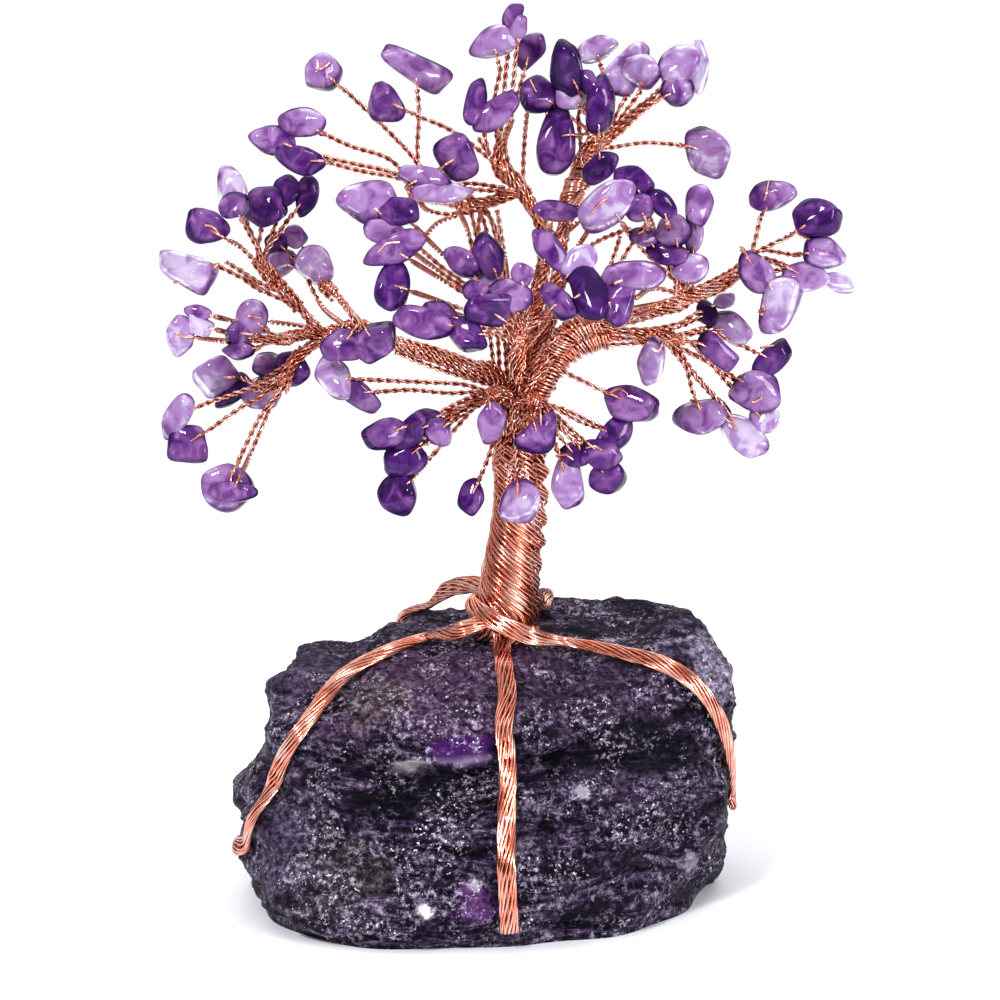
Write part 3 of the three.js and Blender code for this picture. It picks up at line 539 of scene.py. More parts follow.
def patch_and_painted_ledge_colours(point):
    """The colour and strength of the patches at each point, then of the painted highlight on the
    ledge's lip and the painted shadow under it. A patch is an ellipse of the picture, seen from the
    front, with an edge that noise breaks up."""
    u, v = pixel_of(point).T
    ragged = RAGGED * layered_noise(point / RAG_SIZE, 4, seed=41)
    front = np.interp(point[:, 1], FRONT_DEPTHS, (1, 0))
    tint = np.zeros((len(point), 4))
    for middle, half, code, strength in PATCHES.values():
        away = np.hypot((u - middle[0]) / half[0], (v - middle[1]) / half[1])
        inside = np.clip((PATCH_EDGE - away + ragged) / PATCH_SOFTNESS, 0, 1)
        amount = (strength * front * inside)[:, None]
        tint[:, :3] += (colour(code)[:3] - tint[:, :3]) * np.where(amount > tint[:, 3:], 1, amount)
        tint[:, 3:] = np.maximum(tint[:, 3:], amount)
    # Painted highlight along the ledge's lip and painted shadow in the hollow under it.
    drop, share = ledge(point)
    broken = np.clip(BAND_WHOLE + ragged, 0, 1)
    for code, below, spread, strength in LEDGE_HIGHLIGHT_AND_SHADE:
        amount = strength * share * np.exp(-((drop - below) / spread)**2) * broken
        tint += (np.array(colour(code)) - tint) * amount[:, None]
    return tint


def make_rock():
    """Levels joined by a smooth curve, closed by rings that shrink to the middle above and below,
    then moved in or out from the rock's middle by the relief. The underside stays flat. Its faces
    are shaded flat, so that the breaks keep their edges."""
    angle = np.linspace(0, TURN, ROCK_SIDES, endpoint=False)
    levels = smooth_path(ROCK_LEVELS, ROCK_ROWS)
    reach = rock_reach(levels, angle)
    share = np.linspace(SMALLEST_RING, 1, CLOSING_RINGS, endpoint=False)[:, None]
    reach = np.vstack([reach[:1] * share, reach, reach[-1:] * share[::-1]])
    top = levels[-1, 0] + ROCK_CROWN * (1 - share[::-1, 0])
    height = np.concatenate([np.zeros(CLOSING_RINGS), levels[:, 0], top])
    x, y = reach * np.cos(angle), reach * np.sin(angle)
    rings = np.stack([x, y, height[:, None] + rock_lift(x, y, height[:, None])], axis=-1)
    point = rings.reshape(-1, 3)
    outward = unit((point - ROCK_MIDDLE) * STEEPNESS)
    foot = np.clip(point[:, 2] / FOOT_HEIGHT, 0, 1)
    point = point + outward * (rock_relief(point) * foot)[:, None]
    point[:, 2] = np.clip(point[:, 2], 0, None)
    rock = build("rough_amethyst_rock", [(point, stack_faces(len(height), ROCK_SIDES))],
                 ROUGH_AMETHYST, ["rock"], {"patch": patch_and_painted_ledge_colours(point)})
    rock.data.shade_flat()
    return rock


def skin_of(mesh):
    """A tree in which lines can be met with a mesh's faces, in millimetres."""
    return BVHTree.FromPolygons([v.co / MM for v in mesh.vertices], [p.vertices for p in mesh.polygons])


ROCK_SKIN = skin_of(make_rock().data)
# The CAD's rock lacks the relief, so that it gives the way the rock faces as a whole.
SMOOTH_SKIN = skin_of(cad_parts["rock"].data)


# Wound and twisted wire

# A twig: the radius of its two wires, the length of one turn and how far each lies off the middle.
TWIG_WIRE = 0.2
TWIG_PITCH = 2.6
PAIR_OFFSET = 0.2
BUNDLE_STEPS = 8
# A rope: the length of a step, how far inside its radius the pairs lie, how far apart they are and
# how far inside them the core is, and the length of one slow turn.
ROPE_STEP = 0.6
ROPE_INSET = 0.3
PAIR_SPACING = 0.72
CORE_INSET = 0.18
ROPE_TURN_LENGTH = 26
ROPE_LANE = 7.3
ROPE_PHASE = 1.3
# A wire's wandering: over what length it changes, how far it goes in and out, as a share of its
# distance, and how far to the side, in turns.
WANDER_LENGTH = 4.5
WANDER_OUT = 0.22
WANDER_ASIDE = 0.07
ASIDE_SEED = 50
# A wrap: how far apart its wires lie, in radii, how finely they are drawn and how they wander.
WRAP_SPACING = 2.3
WRAP_STEPS = 16
WRAP_RATE = 1.3
WRAP_LANE = 4.1
WRAP_ASIDE = 0.06
WRAP_SEED = 3


def helix(path, distance, turns, count, phase=0.0, flatten=1.0, outward=None):
    """Count lines wound round a path: at each point a line stands `distance` off it, turned by
    `turns` so far. Returns each line with the direction that it stands off."""
    across, through = frame_along(path) if outward is None else outward
    lines = []
    for i in range(count):
        angle = (TURN * (turns + i / count) + phase)[:, None]
        off = np.cos(angle) * across + flatten * np.sin(angle) * through
        lines.append((path + np.reshape(distance, (-1, 1)) * off, unit(off)))
    return lines


def twisted_pair(path, phase=0.0, steps=9):
    """Two wires wound on each other along a path, one turn each pitch."""
    turns = travelled(path)[-1] / TWIG_PITCH
    fine = smooth_path(path, max(6, int(turns * steps)))
    progress = np.linspace(0, turns, len(fine))
    lines = helix(fine, PAIR_OFFSET, progress, 2, phase)
    return [wire(line, TWIG_WIRE, 4, outward) for line, outward in lines]


def rope(route, radii, seed):
    """A branch's bundle: twisted pairs side by side round a core, winding slowly. Each wanders in
    and out and to the side, so that neighbours part and ride over each other."""
    start, end = radii
    length = travelled(smooth_path(route, 40))[-1]
    path = smooth_path(route, max(8, int(length / ROPE_STEP)))
    share = np.linspace(0, 1, len(path))
    ring = start + (end - start) * share - ROPE_INSET
    count = max(3, round(TURN * (start - ROPE_INSET) / PAIR_SPACING))
    parts = [wire(path, ring - CORE_INSET, 8)]
    for number in range(count):
        walk = noise_walk(share * length / WANDER_LENGTH, ROPE_LANE * number)
        aside = WANDER_ASIDE * noise(walk, seed + ASIDE_SEED)
        turns = number / count + share * length / ROPE_TURN_LENGTH + aside
        line = helix(path, ring * (1 + WANDER_OUT * noise(walk, seed)), turns, 1, seed)[0][0]
        parts += twisted_pair(line, phase=number * ROPE_PHASE, steps=BUNDLE_STEPS)
    return parts


def wrap(route, radius, seed, wires, thickness=TWIG_WIRE):
    """Wires wound side by side round a bundle in close turns that lie a little unevenly. The more
    wires, the more the turns slant."""
    path = smooth_path(route, 60)
    turns = travelled(path)[-1] / (wires * WRAP_SPACING * thickness)
    path = smooth_path(route, max(8, int(turns * WRAP_STEPS)))
    progress = np.linspace(0, turns, len(path))
    parts = []
    for number in range(wires):
        walk = noise_walk(progress * WRAP_RATE, number * WRAP_LANE)
        own_turns = progress + number / wires + WRAP_ASIDE * noise(walk, seed + WRAP_SEED)
        line, outward = helix(path, radius * (1 + WANDER_OUT * noise(walk, seed)), own_turns, 1)[0]
        parts.append(wire(line, thickness, outward=outward))
    return parts


# The trunk

TRUNK_ROUTE = [(506, 637, 0), (508, 600, 0), (512, 560, 0), (518, 510, 0), (519, 450, 0), (517, 405, 0),
               (517, 384, 0)]
TRUNK_RADIUS = [(0, 4.7), (0.15, 4.5), (0.35, 3.7), (0.5, 3.5), (0.75, 3.5), (0.9, 4.0), (1, 3.4)]
TRUNK_STEPS = 560
TRUNK_CORE_INSET = 0.65
COIL_WIRE = 0.215
COIL_STARTS = 20
COIL_TURNS = 2.6
COIL_TOP = 0.78
# At its foot the coil slants the other way: by this share of its turns, which fades over this
# share of the height.
FOOT_TURNS = 0.16
FOOT_SHARE = 0.08
# A coil wire's wandering: its lane, how often it changes on the way up, how far it goes to the side
# in turns and how far it stands off.
COIL_LANE = 3.7
COIL_RATE = 26
COIL_ASIDE = 0.012
COIL_OUT = 0.2
# Where another noise, half as quick, is above a level, a loose loop stands off by this times the
# excess. Loops and folds set in above a share of the height, this quickly.
LOOP_LEVEL = 0.5
LOOP_OUT = 1.4
LOOP_START = 0.35
LOOP_ONSET = 4
# The coil bulges to the right in folds, over the middle of the trunk.
FOLD_HEIGHT = 3.1
FOLD_OUT = 0.75
FOLD_START = 0.22
FOLD_ONSET = 6
# The pairs that splay above the coil: how many, where they start, how far in they lie, how far they
# wander out and to the side, and how far every other one turns one way and the rest the other.
SPLAY_PAIRS = 24
SPLAY_START = 0.62
SPLAY_INSET = 0.3
SPLAY_OUT = 0.35
SPLAY_ASIDE = 0.05
SPLAY_LANE = 2.3
SPLAY_RATE = 9
SPLAY_TURNS = (-0.5, 0.7)
SPLAY_PHASE = 1.9


def trunk_radius(share):
    """The trunk's radius at a share of its height."""
    return np.interp(share, *np.transpose(TRUNK_RADIUS))


def coil_wires(path, share):
    """Twenty wires side by side climb the trunk together, slanting the other way at its foot, and
    bulge in folds at the right. Each keeps its own small distance and strays a little to the
    side, and a few stand off in loose loops."""
    coil = share <= COIL_TOP
    turns = -COIL_TURNS * (share + FOOT_TURNS * np.exp(-share / FOOT_SHARE))
    folds = 0.5 + 0.5 * np.sin(TURN * path[:, 2] / FOLD_HEIGHT)
    folds *= np.clip((share - FOLD_START) * FOLD_ONSET, 0, 1)
    parts = []
    for number in range(COIL_STARTS):
        walk = noise_walk(share * COIL_RATE, number * COIL_LANE)
        own_turns = turns + number / COIL_STARTS + COIL_ASIDE * noise(walk, seed=6)
        line, outward = helix(path, trunk_radius(share) - COIL_WIRE, own_turns, 1)[0]
        loop = np.clip(noise(walk / 2, seed=8) - LOOP_LEVEL, 0, 1)
        loop *= np.clip((share - LOOP_START) * LOOP_ONSET, 0, 1)
        fold = FOLD_OUT * folds * np.clip(outward @ RIGHT, 0, 1)**3
        off = COIL_OUT * noise(walk, seed=5) + LOOP_OUT * loop + fold
        line = line + outward * off[:, None]
        parts.append(wire(line[coil], COIL_WIRE, outward=outward[coil]))
    return parts


def splay_pairs(path, share):
    """Twisted pairs that leave the coil's top and splay into the branches."""
    splay = np.linspace(SPLAY_START, 1, 60)
    splay_path = path[np.searchsorted(share, splay)]
    parts = []
    for number in range(SPLAY_PAIRS):
        walk = noise_walk(splay * SPLAY_RATE, number * SPLAY_LANE)
        aside = SPLAY_ASIDE * noise(walk, seed=15)
        own_turns = number / SPLAY_PAIRS + splay * SPLAY_TURNS[number % 2] + aside
        distance = trunk_radius(splay) - SPLAY_INSET + SPLAY_OUT * noise(walk, seed=16)
        line = helix(splay_path, distance, own_turns, 1)[0][0]
        parts += twisted_pair(line, phase=number * SPLAY_PHASE, steps=BUNDLE_STEPS)
    return parts


def make_trunk():
    """A core, the coil wires and the pairs above them."""
    path = smooth_path(place(TRUNK_ROUTE), TRUNK_STEPS)
    share = np.linspace(0, 1, TRUNK_STEPS)
    parts = [wire(path, trunk_radius(share) - TRUNK_CORE_INSET, 24)]
    parts += coil_wires(path, share) + splay_pairs(path, share)
    build("coiled_trunk", parts, COPPER, ["trunk"])


# The roots

# Half the width and half the thickness of a root, then its strands and how slowly they wind.
STRAP_HALF = (1.3, 0.62)
STRAP_WIRE = 0.19
STRAP_STRANDS = 12
STRAP_TURN_LENGTH = 25.0
STRAP_STEP = 0.55
# A strand's wandering: how often it changes in a turn, its lane, and how far it goes outward, as a
# share of its distance, and to the side, in turns.
STRAP_RATE = 5
STRAP_LANE = 3.1
STRAP_OUT = 0.07
STRAP_ASIDE = 0.02
# Three wires fill the root. They end this far inside the strands' middles and lie here across it.
FILL_INSET = 0.15
FILL_PLACES = (-0.6, 0, 0.6)
# A root's middle line clears the bumps by this share of its half thickness. It is lifted at most
# this far, and the lift is evened over this many steps to either side.
REST_SHARE = 0.9
MOST_LIFT = 2.5
EVEN_STEPS = 3
# The trunk's foot, and how the roots' free parts face: from its axis, to the front and upward.
TRUNK_FOOT = (507, 620, 0)
FREE_FACING = (0, -6, 3)
# The height, and the distance from a root, from which lines are sent to meet the rock.
ABOVE_ROCK = 80
SEARCH = 5.0
# A root passes through the air beside the trunk, then pixels at which it shows on the rock. Where
# it is out of sight it is given by places to aim at, from above and then from outside.
ROOTS = {
    "root_left": {
        "free": [(500, 612, -4.8), (484, 621, -5.8), (460, 630, -7.2)],
        "seen": [(427, 641), (385, 656), (347, 677), (323, 705), (303, 743), (285, 773), (267, 808),
                 (252, 842)],
        "reached": [(-70, -5, 7), (-70, 3, 5)],
    },
    "root_front": {
        "free": [(501, 622, -5.4), (502, 645, -7.4)],
        "seen": [(503, 668), (507, 698), (504, 730), (506, 767), (506, 822), (506, 870), (509, 928)],
    },
    "root_right": {
        "free": [(477, 596, 2), (471, 603, -2.5), (482, 614, -5.6), (503, 625, -7.2), (530, 636, -7.6)],
        "seen": [(564, 646), (616, 655), (661, 667), (695, 689), (717, 722), (726, 758), (727, 795)],
        "reached": [(70, 0, 12)],
    },
    "root_back_left": {
        "free": [(505, 597, 3), (484, 586, 5), (463, 585, 8), (443, 592, 11.5)],
        "above": [(-11.5, 16.5), (-14.5, 20.5)],
        "reached": [(-38, 70, 31), (-36, 70, 22), (-34, 70, 12), (-31, 70, 3)],
    },
    "root_back_right": {
        "free": [(528, 606, 4), (538, 596, 5.5)],
        "above": [(4.8, 7.5), (5.4, 13)],
        "reached": [(16, 70, 33), (17, 70, 24), (18, 70, 13), (18, 70, 3)],
    },
}


def rock_hits(root):
    """Where the lines of a root's list meet the rock, and the way the rock faces there as a whole."""
    rays = [(EYE, line) for line in sight_line(root.get("seen", np.zeros((0, 2))))]
    rays += [((x, y, ABOVE_ROCK), (0, 0, -1)) for x, y in root.get("above", [])]
    rays += [((x, y, z), (-x, -y, 0)) for x, y, z in root.get("reached", [])]
    rays = [(Vector(start), Vector(line).normalized()) for start, line in rays]
    hits = [SMOOTH_SKIN.ray_cast(*ray) for ray in rays]
    return np.array([hit[0] for hit in hits]), np.array([hit[1] for hit in hits])


def slid(values, take):
    """Each value replaced by the most, or the mean, of those near it."""
    padded = np.pad(values, EVEN_STEPS, mode="edge")
    return take(np.lib.stride_tricks.sliding_window_view(padded, 2 * EVEN_STEPS + 1), axis=1)


def lifted(path, facing, half, on_rock):
    """The path moved out, where it lies on the rock, until half its thickness clears the bumps
    near it."""
    starts = path + SEARCH * facing
    hits = [ROCK_SKIN.ray_cast(Vector(start), -Vector(way)) for start, way in zip(starts, facing)]
    bump = np.array([SEARCH - hit[3] if hit[0] else -SEARCH for hit in hits])
    need = np.where(on_rock, np.clip(bump + half, 0, MOST_LIFT), 0)
    return path + facing * slid(slid(need, np.max), np.mean)[:, None]


def root_line(root):
    """The middle line of a root, the way it faces, and its length before it was lifted over the
    rock's bumps."""
    points, facing = rock_hits(root)
    points = points + facing * STRAP_HALF[1]
    free = place(root["free"])
    away = unit((free - place(TRUNK_FOOT)) * (1, 0, 0) + FREE_FACING)
    points = np.vstack([free, points])
    facing = np.vstack([away, facing])
    length = travelled(smooth_path(points, 60))[-1]
    count = int(length / STRAP_STEP)
    path = smooth_path(points, count)
    numbers = range(len(points))
    along = np.interp(np.linspace(0, 1, count), travelled(points) / travelled(points)[-1], numbers)
    facing = unit(np.stack([np.interp(along, numbers, column) for column in facing.T], axis=1))
    return lifted(path, facing, REST_SHARE * STRAP_HALF[1], along > len(free)), facing, length


def make_root(name, root):
    """A flat cable: strands round an oval section that winds slowly along the root."""
    path, facing, length = root_line(root)
    tangent = unit(np.gradient(path, axis=0))
    across = unit(np.cross(facing, tangent))
    through = np.cross(tangent, across)
    wide, thick = np.array(STRAP_HALF) - STRAP_WIRE
    turns = np.linspace(0, length / STRAP_TURN_LENGTH, len(path))
    parts = [wire(path + side * across, thick - FILL_INSET, outward=through) for side in FILL_PLACES]
    for number in range(STRAP_STRANDS):
        walk = noise_walk(turns * STRAP_RATE, STRAP_LANE * number)
        distance = wide * (1 + STRAP_OUT * noise(walk, seed=17))
        own_turns = turns + number / STRAP_STRANDS + STRAP_ASIDE * noise(walk, seed=19)
        line, outward = helix(path, distance, own_turns, 1, 0.0, thick / wide, (across, through))[0]
        parts.append(wire(line, STRAP_WIRE, outward=outward))
    build("wire_" + name, parts, COPPER, [name])


make_trunk()
for root_name, root_lines in ROOTS.items():
    make_root(root_name, root_lines)


# The chips

# A group hangs on a knot of its branch, and its depth is that of its first chip. A chip is its
# pixel, length and width in millimetres, anticlockwise turn in degrees, how much it narrows to
# its left end (or its right, below 0), whether it lies before (-1), beside (0) or behind (1) the
# chip it touches, that chip's number in the group, its tone (or its two ends' tones), and the
# corners of its outline.
Chip = namedtuple("Chip", "u v length width turn taper side touched tones corners")
CHIPS = {
    "left_tip": ("upper_left", -3, [
        (323, 73, 5.4, 5.2, 20, 0.1, 0, 0, "v", 5),
    ]),
    "left_top": ("upper_left", -9, [
        (272, 140, 6.6, 4.2, -5, 0.1, 0, 0, "vm", 5),
        (303, 122, 6.8, 4.1, 0, -0.1, 0, 0, "mp", 5),
        (299, 160, 7.5, 3.9, -15, 0.2, 1, 0, "d", 5),
    ]),
    "left_outer_top": ("left_fork", -10, [
        (234, 205, 4.4, 3.8, 30, 0.1, 0, 0, "m", 5),
        (232, 188, 6.1, 4.1, 100, 0.1, 1, 0, "c", 5),
        (207, 228, 6.3, 4.9, -20, 0.3, -1, 0, "m", 3),
    ]),
    "left_inner_top": ("left_fork", 2, [
        (265, 206, 6.1, 5.8, 30, 0, 0, 0, "d", 5),
        (286, 192, 4.7, 4.1, 60, 0.1, 1, 0, "k", 5),
        (307, 197, 5.8, 3.4, 75, 0.2, -1, 1, "d", 5),
    ]),
    "left_far": ("left_fork", -5, [
        (185, 270, 8.6, 5.2, -20, 0.25, 0, 0, "pc", 4),
    ]),
    "left_inner": ("left_inner", 8, [
        (280, 262, 5.0, 4.1, 30, 0, 0, 0, "v", 5),
        (277, 242, 3.4, 2.9, 10, 0, -1, 0, "d", 5),
        (295, 237, 3.6, 3.4, 0, 0, 0, 1, "v", 5),
        (315, 265, 6.3, 5.2, -50, -0.1, -1, 0, "p", 5),
    ]),
    "left_side": ("left_low", -14, [
        (180, 336, 6.1, 3.9, 80, -0.1, 0, 0, "p", 5),
        (200, 326, 3.9, 2.7, -20, 0, 1, 0, "c", 4),
        (198, 312, 3.9, 2.0, -12, 0, -1, 1, "m", 5),
    ]),
    "left_middle": ("left_low", -7, [
        (252, 318, 5.5, 4.4, 70, 0, 0, 0, "v", 5),
        (239, 333, 3.8, 3.5, 0, 0, -1, 0, "m", 5),
        (239, 351, 4.7, 2.6, 0, 0, 1, 1, "m", 5),
    ]),
    "left_low": ("left_fan", 4, [
        (216, 377, 6.1, 5.0, 30, 0.1, 0, 0, "cv", 4),
        (232, 392, 6.3, 3.2, 45, 0.2, 1, 0, "d", 5),
        (261, 394, 5.4, 4.9, 20, 0.1, -1, 1, "mc", 5),
        (268, 365, 5.0, 3.9, 10, 0.1, 1, 2, "v", 5),
        (292, 370, 5.5, 5.0, -30, 0, -1, 3, "d", 5),
    ]),
    "left_hanging": ("lower_left", -12, [
        (335, 378, 6.9, 4.7, -60, -0.2, 0, 0, "p", 5),
        (355, 392, 8.0, 3.5, -35, 0, 1, 0, "m", 5),
    ]),
    "left_lowest": ("left_fan", -4, [
        (177, 417, 7.2, 3.6, 60, 0.1, 0, 0, "vp", 5),
        (187, 444, 5.6, 5.4, 0, 0, 0, 0, "m", 4),
    ]),
    "left_drop": ("left_fan", -12, [
        (228, 488, 7.2, 6.6, 20, 0.1, 0, 0, "v", 5),
        (233, 492, 7.2, 2.9, 0, 0, -1, 0, "m", 5),
    ]),
    "top_long": ("upper_left", 5, [
        (415, 68, 10.8, 4.4, -28, 0.35, 0, 0, "v", 4),
    ]),
    "top_left": ("top", -6, [
        (388, 103, 5.8, 5.2, 80, 0.35, 0, 0, "m", 3),
    ]),
    "top_high": ("top", 4, [
        (493, 42, 7.2, 4.4, 20, 0.1, 0, 0, "vp", 5),
        (512, 18, 4.2, 2.7, 75, 0.1, 1, 0, "m", 5),
        (519, 28, 3.9, 2.4, 70, 0, -1, 1, "v", 5),
    ]),
    "top_pair": ("top", -4, [
        (476, 102, 7.2, 3.1, 82, -0.1, 0, 0, "d", 5),
        (496, 113, 7.7, 3.9, 40, 0, -1, 0, "m", 5),
    ]),
    "top_single": ("top", 12, [
        (530, 51, 5.9, 3.9, 62, 0.25, 0, 0, "m", 5),
    ]),
    "centre_top": ("upper_left", -14, [
        (442, 192, 9.1, 3.1, 0, 0, 0, 0, "p", 5),
        (424, 177, 7.7, 2.9, -8, 0, 1, 0, "v", 5),
    ]),
    "centre_peak": ("upper_left", -8, [
        (457, 158, 6.6, 5.2, -60, -0.1, 0, 0, "m", 4),
    ]),
    "centre_left": ("middle", -20, [
        (367, 202, 8.6, 6.3, -5, 0.1, 0, 0, "v", 5),
        (400, 212, 6.1, 3.9, -5, 0, -1, 0, "d", 5),
        (386, 232, 6.6, 3.8, -20, 0, 1, 1, "v", 5),
        (394, 250, 9.1, 4.1, 20, 0.1, -1, 2, "m", 5),
        (393, 285, 6.9, 4.7, 80, -0.1, 1, 3, "d", 5),
    ]),
    "centre_pair": ("middle", -16, [
        (489, 255, 6.3, 4.1, -65, 0, 0, 0, "d", 5),
        (462, 262, 6.1, 3.6, -40, 0, 1, 0, "m", 5),
        (486, 275, 4.3, 3.1, 0, 0, 1, 0, "p", 5),
    ]),
    "centre_low": ("left_small", -16, [
        (343, 345, 6.3, 4.7, 10, 0, 0, 0, "m", 5),
        (374, 342, 6.9, 5.0, 30, 0, -1, 0, "m", 5),
    ]),
    "centre_front": ("middle", -24, [
        (488, 310, 6.9, 4.5, -3, 0, 0, 0, "d", 4),
        (509, 296, 6.6, 4.7, -10, 0, 1, 0, "v", 5),
        (522, 275, 3.3, 3.1, 90, 0.2, 1, 1, "m", 5),
        (475, 291, 3.5, 3.0, 0, 0, 1, 0, "m", 5),
        (467, 335, 6.8, 4.3, -35, 0, 1, 0, "d", 5),
        (443, 316, 6.1, 3.5, -35, 0, 1, 4, "m", 5),
        (424, 323, 8.3, 4.4, -10, 0.1, -1, 5, "m", 5),
    ]),
    "low_left": ("lower_left", -14, [
        (411, 433, 6.3, 3.8, 50, 0, 0, 0, "d", 5),
        (386, 434, 6.3, 4.3, 20, 0, -1, 0, "m", 5),
        (427, 422, 4.6, 3.8, 0, 0, 1, 0, "d", 5),
        (438, 431, 4.6, 3.8, -30, 0, -1, 2, "m", 5),
        (405, 460, 6.2, 5.0, 20, 0, 1, 0, "d", 5),
        (398, 495, 6.1, 5.9, 0, 0, -1, 4, "d", 6),
    ]),
    "low_small": ("lower_left", -11, [
        (471, 498, 5.2, 3.7, 85, 0, 0, 0, "d", 5),
    ]),
    "low_front": ("lower_left", -10, [
        (491, 423, 6.3, 3.9, 85, 0.1, 0, 0, "v", 5),
    ]),
    "trunk_front": ("lower_right", -13, [
        (518, 501, 6.2, 6.0, 90, 0.4, 0, 0, "p", 3),
    ]),
    "trunk_right": ("lower_right", -9, [
        (541, 433, 7.5, 5.0, 55, 0, 0, 0, "m", 3),
    ]),
    "low_right": ("lower_right", -5, [
        (575, 455, 5.2, 3.6, 0, 0, 0, 0, "d", 5),
        (568, 484, 7.5, 4.7, 90, 0, -1, 0, "p", 5),
        (602, 455, 5.8, 4.3, -20, 0, -1, 0, "m", 5),
        (608, 478, 5.2, 4.6, 30, 0, 1, 2, "d", 5),
        (615, 435, 7.3, 4.1, 45, 0, 1, 2, "d", 5),
        (631, 404, 7.6, 5.2, -5, -0.2, -1, 4, "m", 5),
    ]),
    "top_right_dark": ("top_right", 0, [
        (557, 137, 10.4, 5.4, 84, -0.35, 0, 0, "mk", 6),
        (570, 97, 4.6, 3.6, 0, 0, 0, 0, "p", 5),
        (566, 68, 8.1, 4.8, 100, -0.1, -1, 1, "k", 6),
        (538, 94, 5.4, 5.1, 60, 0, 0, 1, "d", 5),
        (587, 82, 3.9, 3.0, -50, 0, 1, 2, "d", 5),
        (600, 104, 8.3, 4.4, 80, -0.2, -1, 4, "d", 5),
    ]),
    "top_right_pale": ("top_right", 10, [
        (628, 68, 8.8, 5.0, 58, -0.2, 0, 0, "p", 4),
        (641, 71, 5.7, 4.7, -15, 0, -1, 0, "p", 5),
        (680, 65, 6.2, 5.4, 20, 0, 0, 1, "p", 5),
        (678, 91, 4.9, 4.4, 0, 0, -1, 2, "v", 5),
        (698, 66, 8.0, 3.1, 90, 0, 1, 2, "c", 5),
    ]),
    "top_right_small": ("top_right", 14, [
        (596, 49, 5.9, 3.5, 30, 0, 0, 0, "p", 5),
    ]),
    "right_knot": ("top_right", -3, [
        (600, 168, 6.1, 3.6, 40, 0, 0, 0, "d", 5),
    ]),
    "right_centre": ("right_upper", -14, [
        (608, 205, 9.1, 5.5, 38, 0, 0, 0, "p", 5),
        (634, 181, 6.4, 3.9, -25, 0, 1, 0, "d", 5),
        (639, 207, 4.6, 4.3, 60, 0, 1, 0, "m", 5),
        (662, 204, 4.8, 3.0, -50, 0, -1, 2, "d", 5),
    ]),
    "centre_right": ("middle", -10, [
        (556, 211, 6.3, 3.0, -5, 0, 0, 0, "m", 5),
    ]),
    "right_front": ("middle", -22, [
        (588, 291, 9.1, 4.7, -68, 0, 0, 0, "k", 5),
        (616, 301, 7.5, 5.2, 90, 0, 1, 0, "m", 5),
        (634, 275, 8.9, 4.0, -3, 0, -1, 1, "v", 5),
        (578, 263, 5.8, 3.9, 45, 0, 1, 0, "p", 5),
        (549, 249, 6.7, 3.4, -50, 0.1, -1, 3, "m", 5),
        (559, 302, 6.2, 3.4, -45, 0, -1, 0, "m", 5),
    ]),
    "right_corner": ("top_right", 15, [
        (708, 153, 8.3, 6.1, -60, 0.1, 0, 0, "vp", 5),
    ]),
    "right_upper": ("right_upper", -6, [
        (674, 231, 5.1, 4.7, 0, 0, 0, 0, "v", 5),
        (667, 253, 5.9, 3.5, -5, 0, 1, 0, "d", 5),
        (646, 237, 4.7, 2.9, 0, 0, 1, 0, "m", 5),
        (694, 235, 5.2, 2.7, 85, 0, 1, 0, "v", 5),
        (699, 206, 6.0, 4.0, 80, 0.1, -1, 3, "v", 5),
        (690, 268, 5.3, 4.5, 10, 0, -1, 1, "vp", 5),
    ]),
    "right_high": ("right_fork", 9, [
        (773, 195, 7.0, 4.4, 10, -0.3, 0, 0, "dp", 5),
    ]),
    "right_outer": ("right_fork", -3, [
        (826, 253, 6.4, 4.6, -10, 0, 0, 0, "vp", 5),
        (816, 219, 6.9, 5.5, -15, 0, 1, 0, "d", 5),
        (806, 277, 6.6, 4.3, -10, 0, 1, 0, "p", 5),
        (839, 283, 4.9, 2.6, -20, 0, -1, 2, "p", 5),
        (780, 304, 8.8, 6.0, 78, 0.2, 1, 2, "vc", 4),
        (756, 273, 6.8, 4.5, -50, 0, -1, 4, "v", 5),
    ]),
    "right_inner": ("right", 5, [
        (731, 328, 6.2, 4.3, -38, 0, 0, 0, "p", 5),
        (707, 313, 3.9, 3.0, -60, 0, 1, 0, "k", 5),
        (724, 301, 3.5, 2.2, 15, 0, -1, 1, "p", 5),
    ]),
    "right_pale": ("right_low", -9, [
        (651, 362, 6.9, 3.9, 85, 0, 0, 0, "p", 5),
    ]),
    "right_small": ("right_low", -6, [
        (717, 351, 6.3, 3.4, -38, 0, 0, 0, "m", 4),
    ]),
    "right_low": ("right_low", 4, [
        (757, 391, 7.2, 6.0, -25, 0, 0, 0, "v", 5),
        (772, 360, 6.3, 3.8, 38, 0.1, 1, 0, "d", 5),
        (763, 420, 4.6, 4.3, 60, 0, 1, 0, "p", 5),
        (742, 434, 8.6, 4.6, -48, 0.1, -1, 2, "pc", 5),
        (702, 417, 8.4, 5.0, 5, 0, 1, 3, "v", 5),
    ]),
}
TONES = {"k": 0.0, "d": 0.2, "m": 0.4, "v": 0.6, "p": 0.8, "c": 1.0}
THICKNESS_SHARE = 0.82
TOUCH_SHARE = 0.76
CHIP_LEAN = math.radians(20)
GOLDEN_ANGLE = 2.4
BALL_STEPS = 10
# Painted shade: the tone darkens by this much at the rim, from this share of the way out.
PAINTED_RIM_SHADE = 0.55
PAINTED_RIM_START = 0.86
# How unevenly a chip's corners are spread, how much its sides and faces lean, how far from the
# middle its sides and faces are, how flat they are (the power), and how deep its dents are.
CORNER_SPREAD = 0.12
SIDE_TILT = 0.25
FACE_SLOPE = 0.5
SIDE_REACH = (0.92, 1.08)
FACE_REACH = (0.84, 1.12)
FLATNESS = (3.6, 6.0)
TRIANGLE_FLATNESS = 2.9
DENT_DEPTH = 0.06
DENT_SIZE = 1.2
DENT_LANE = 11.3
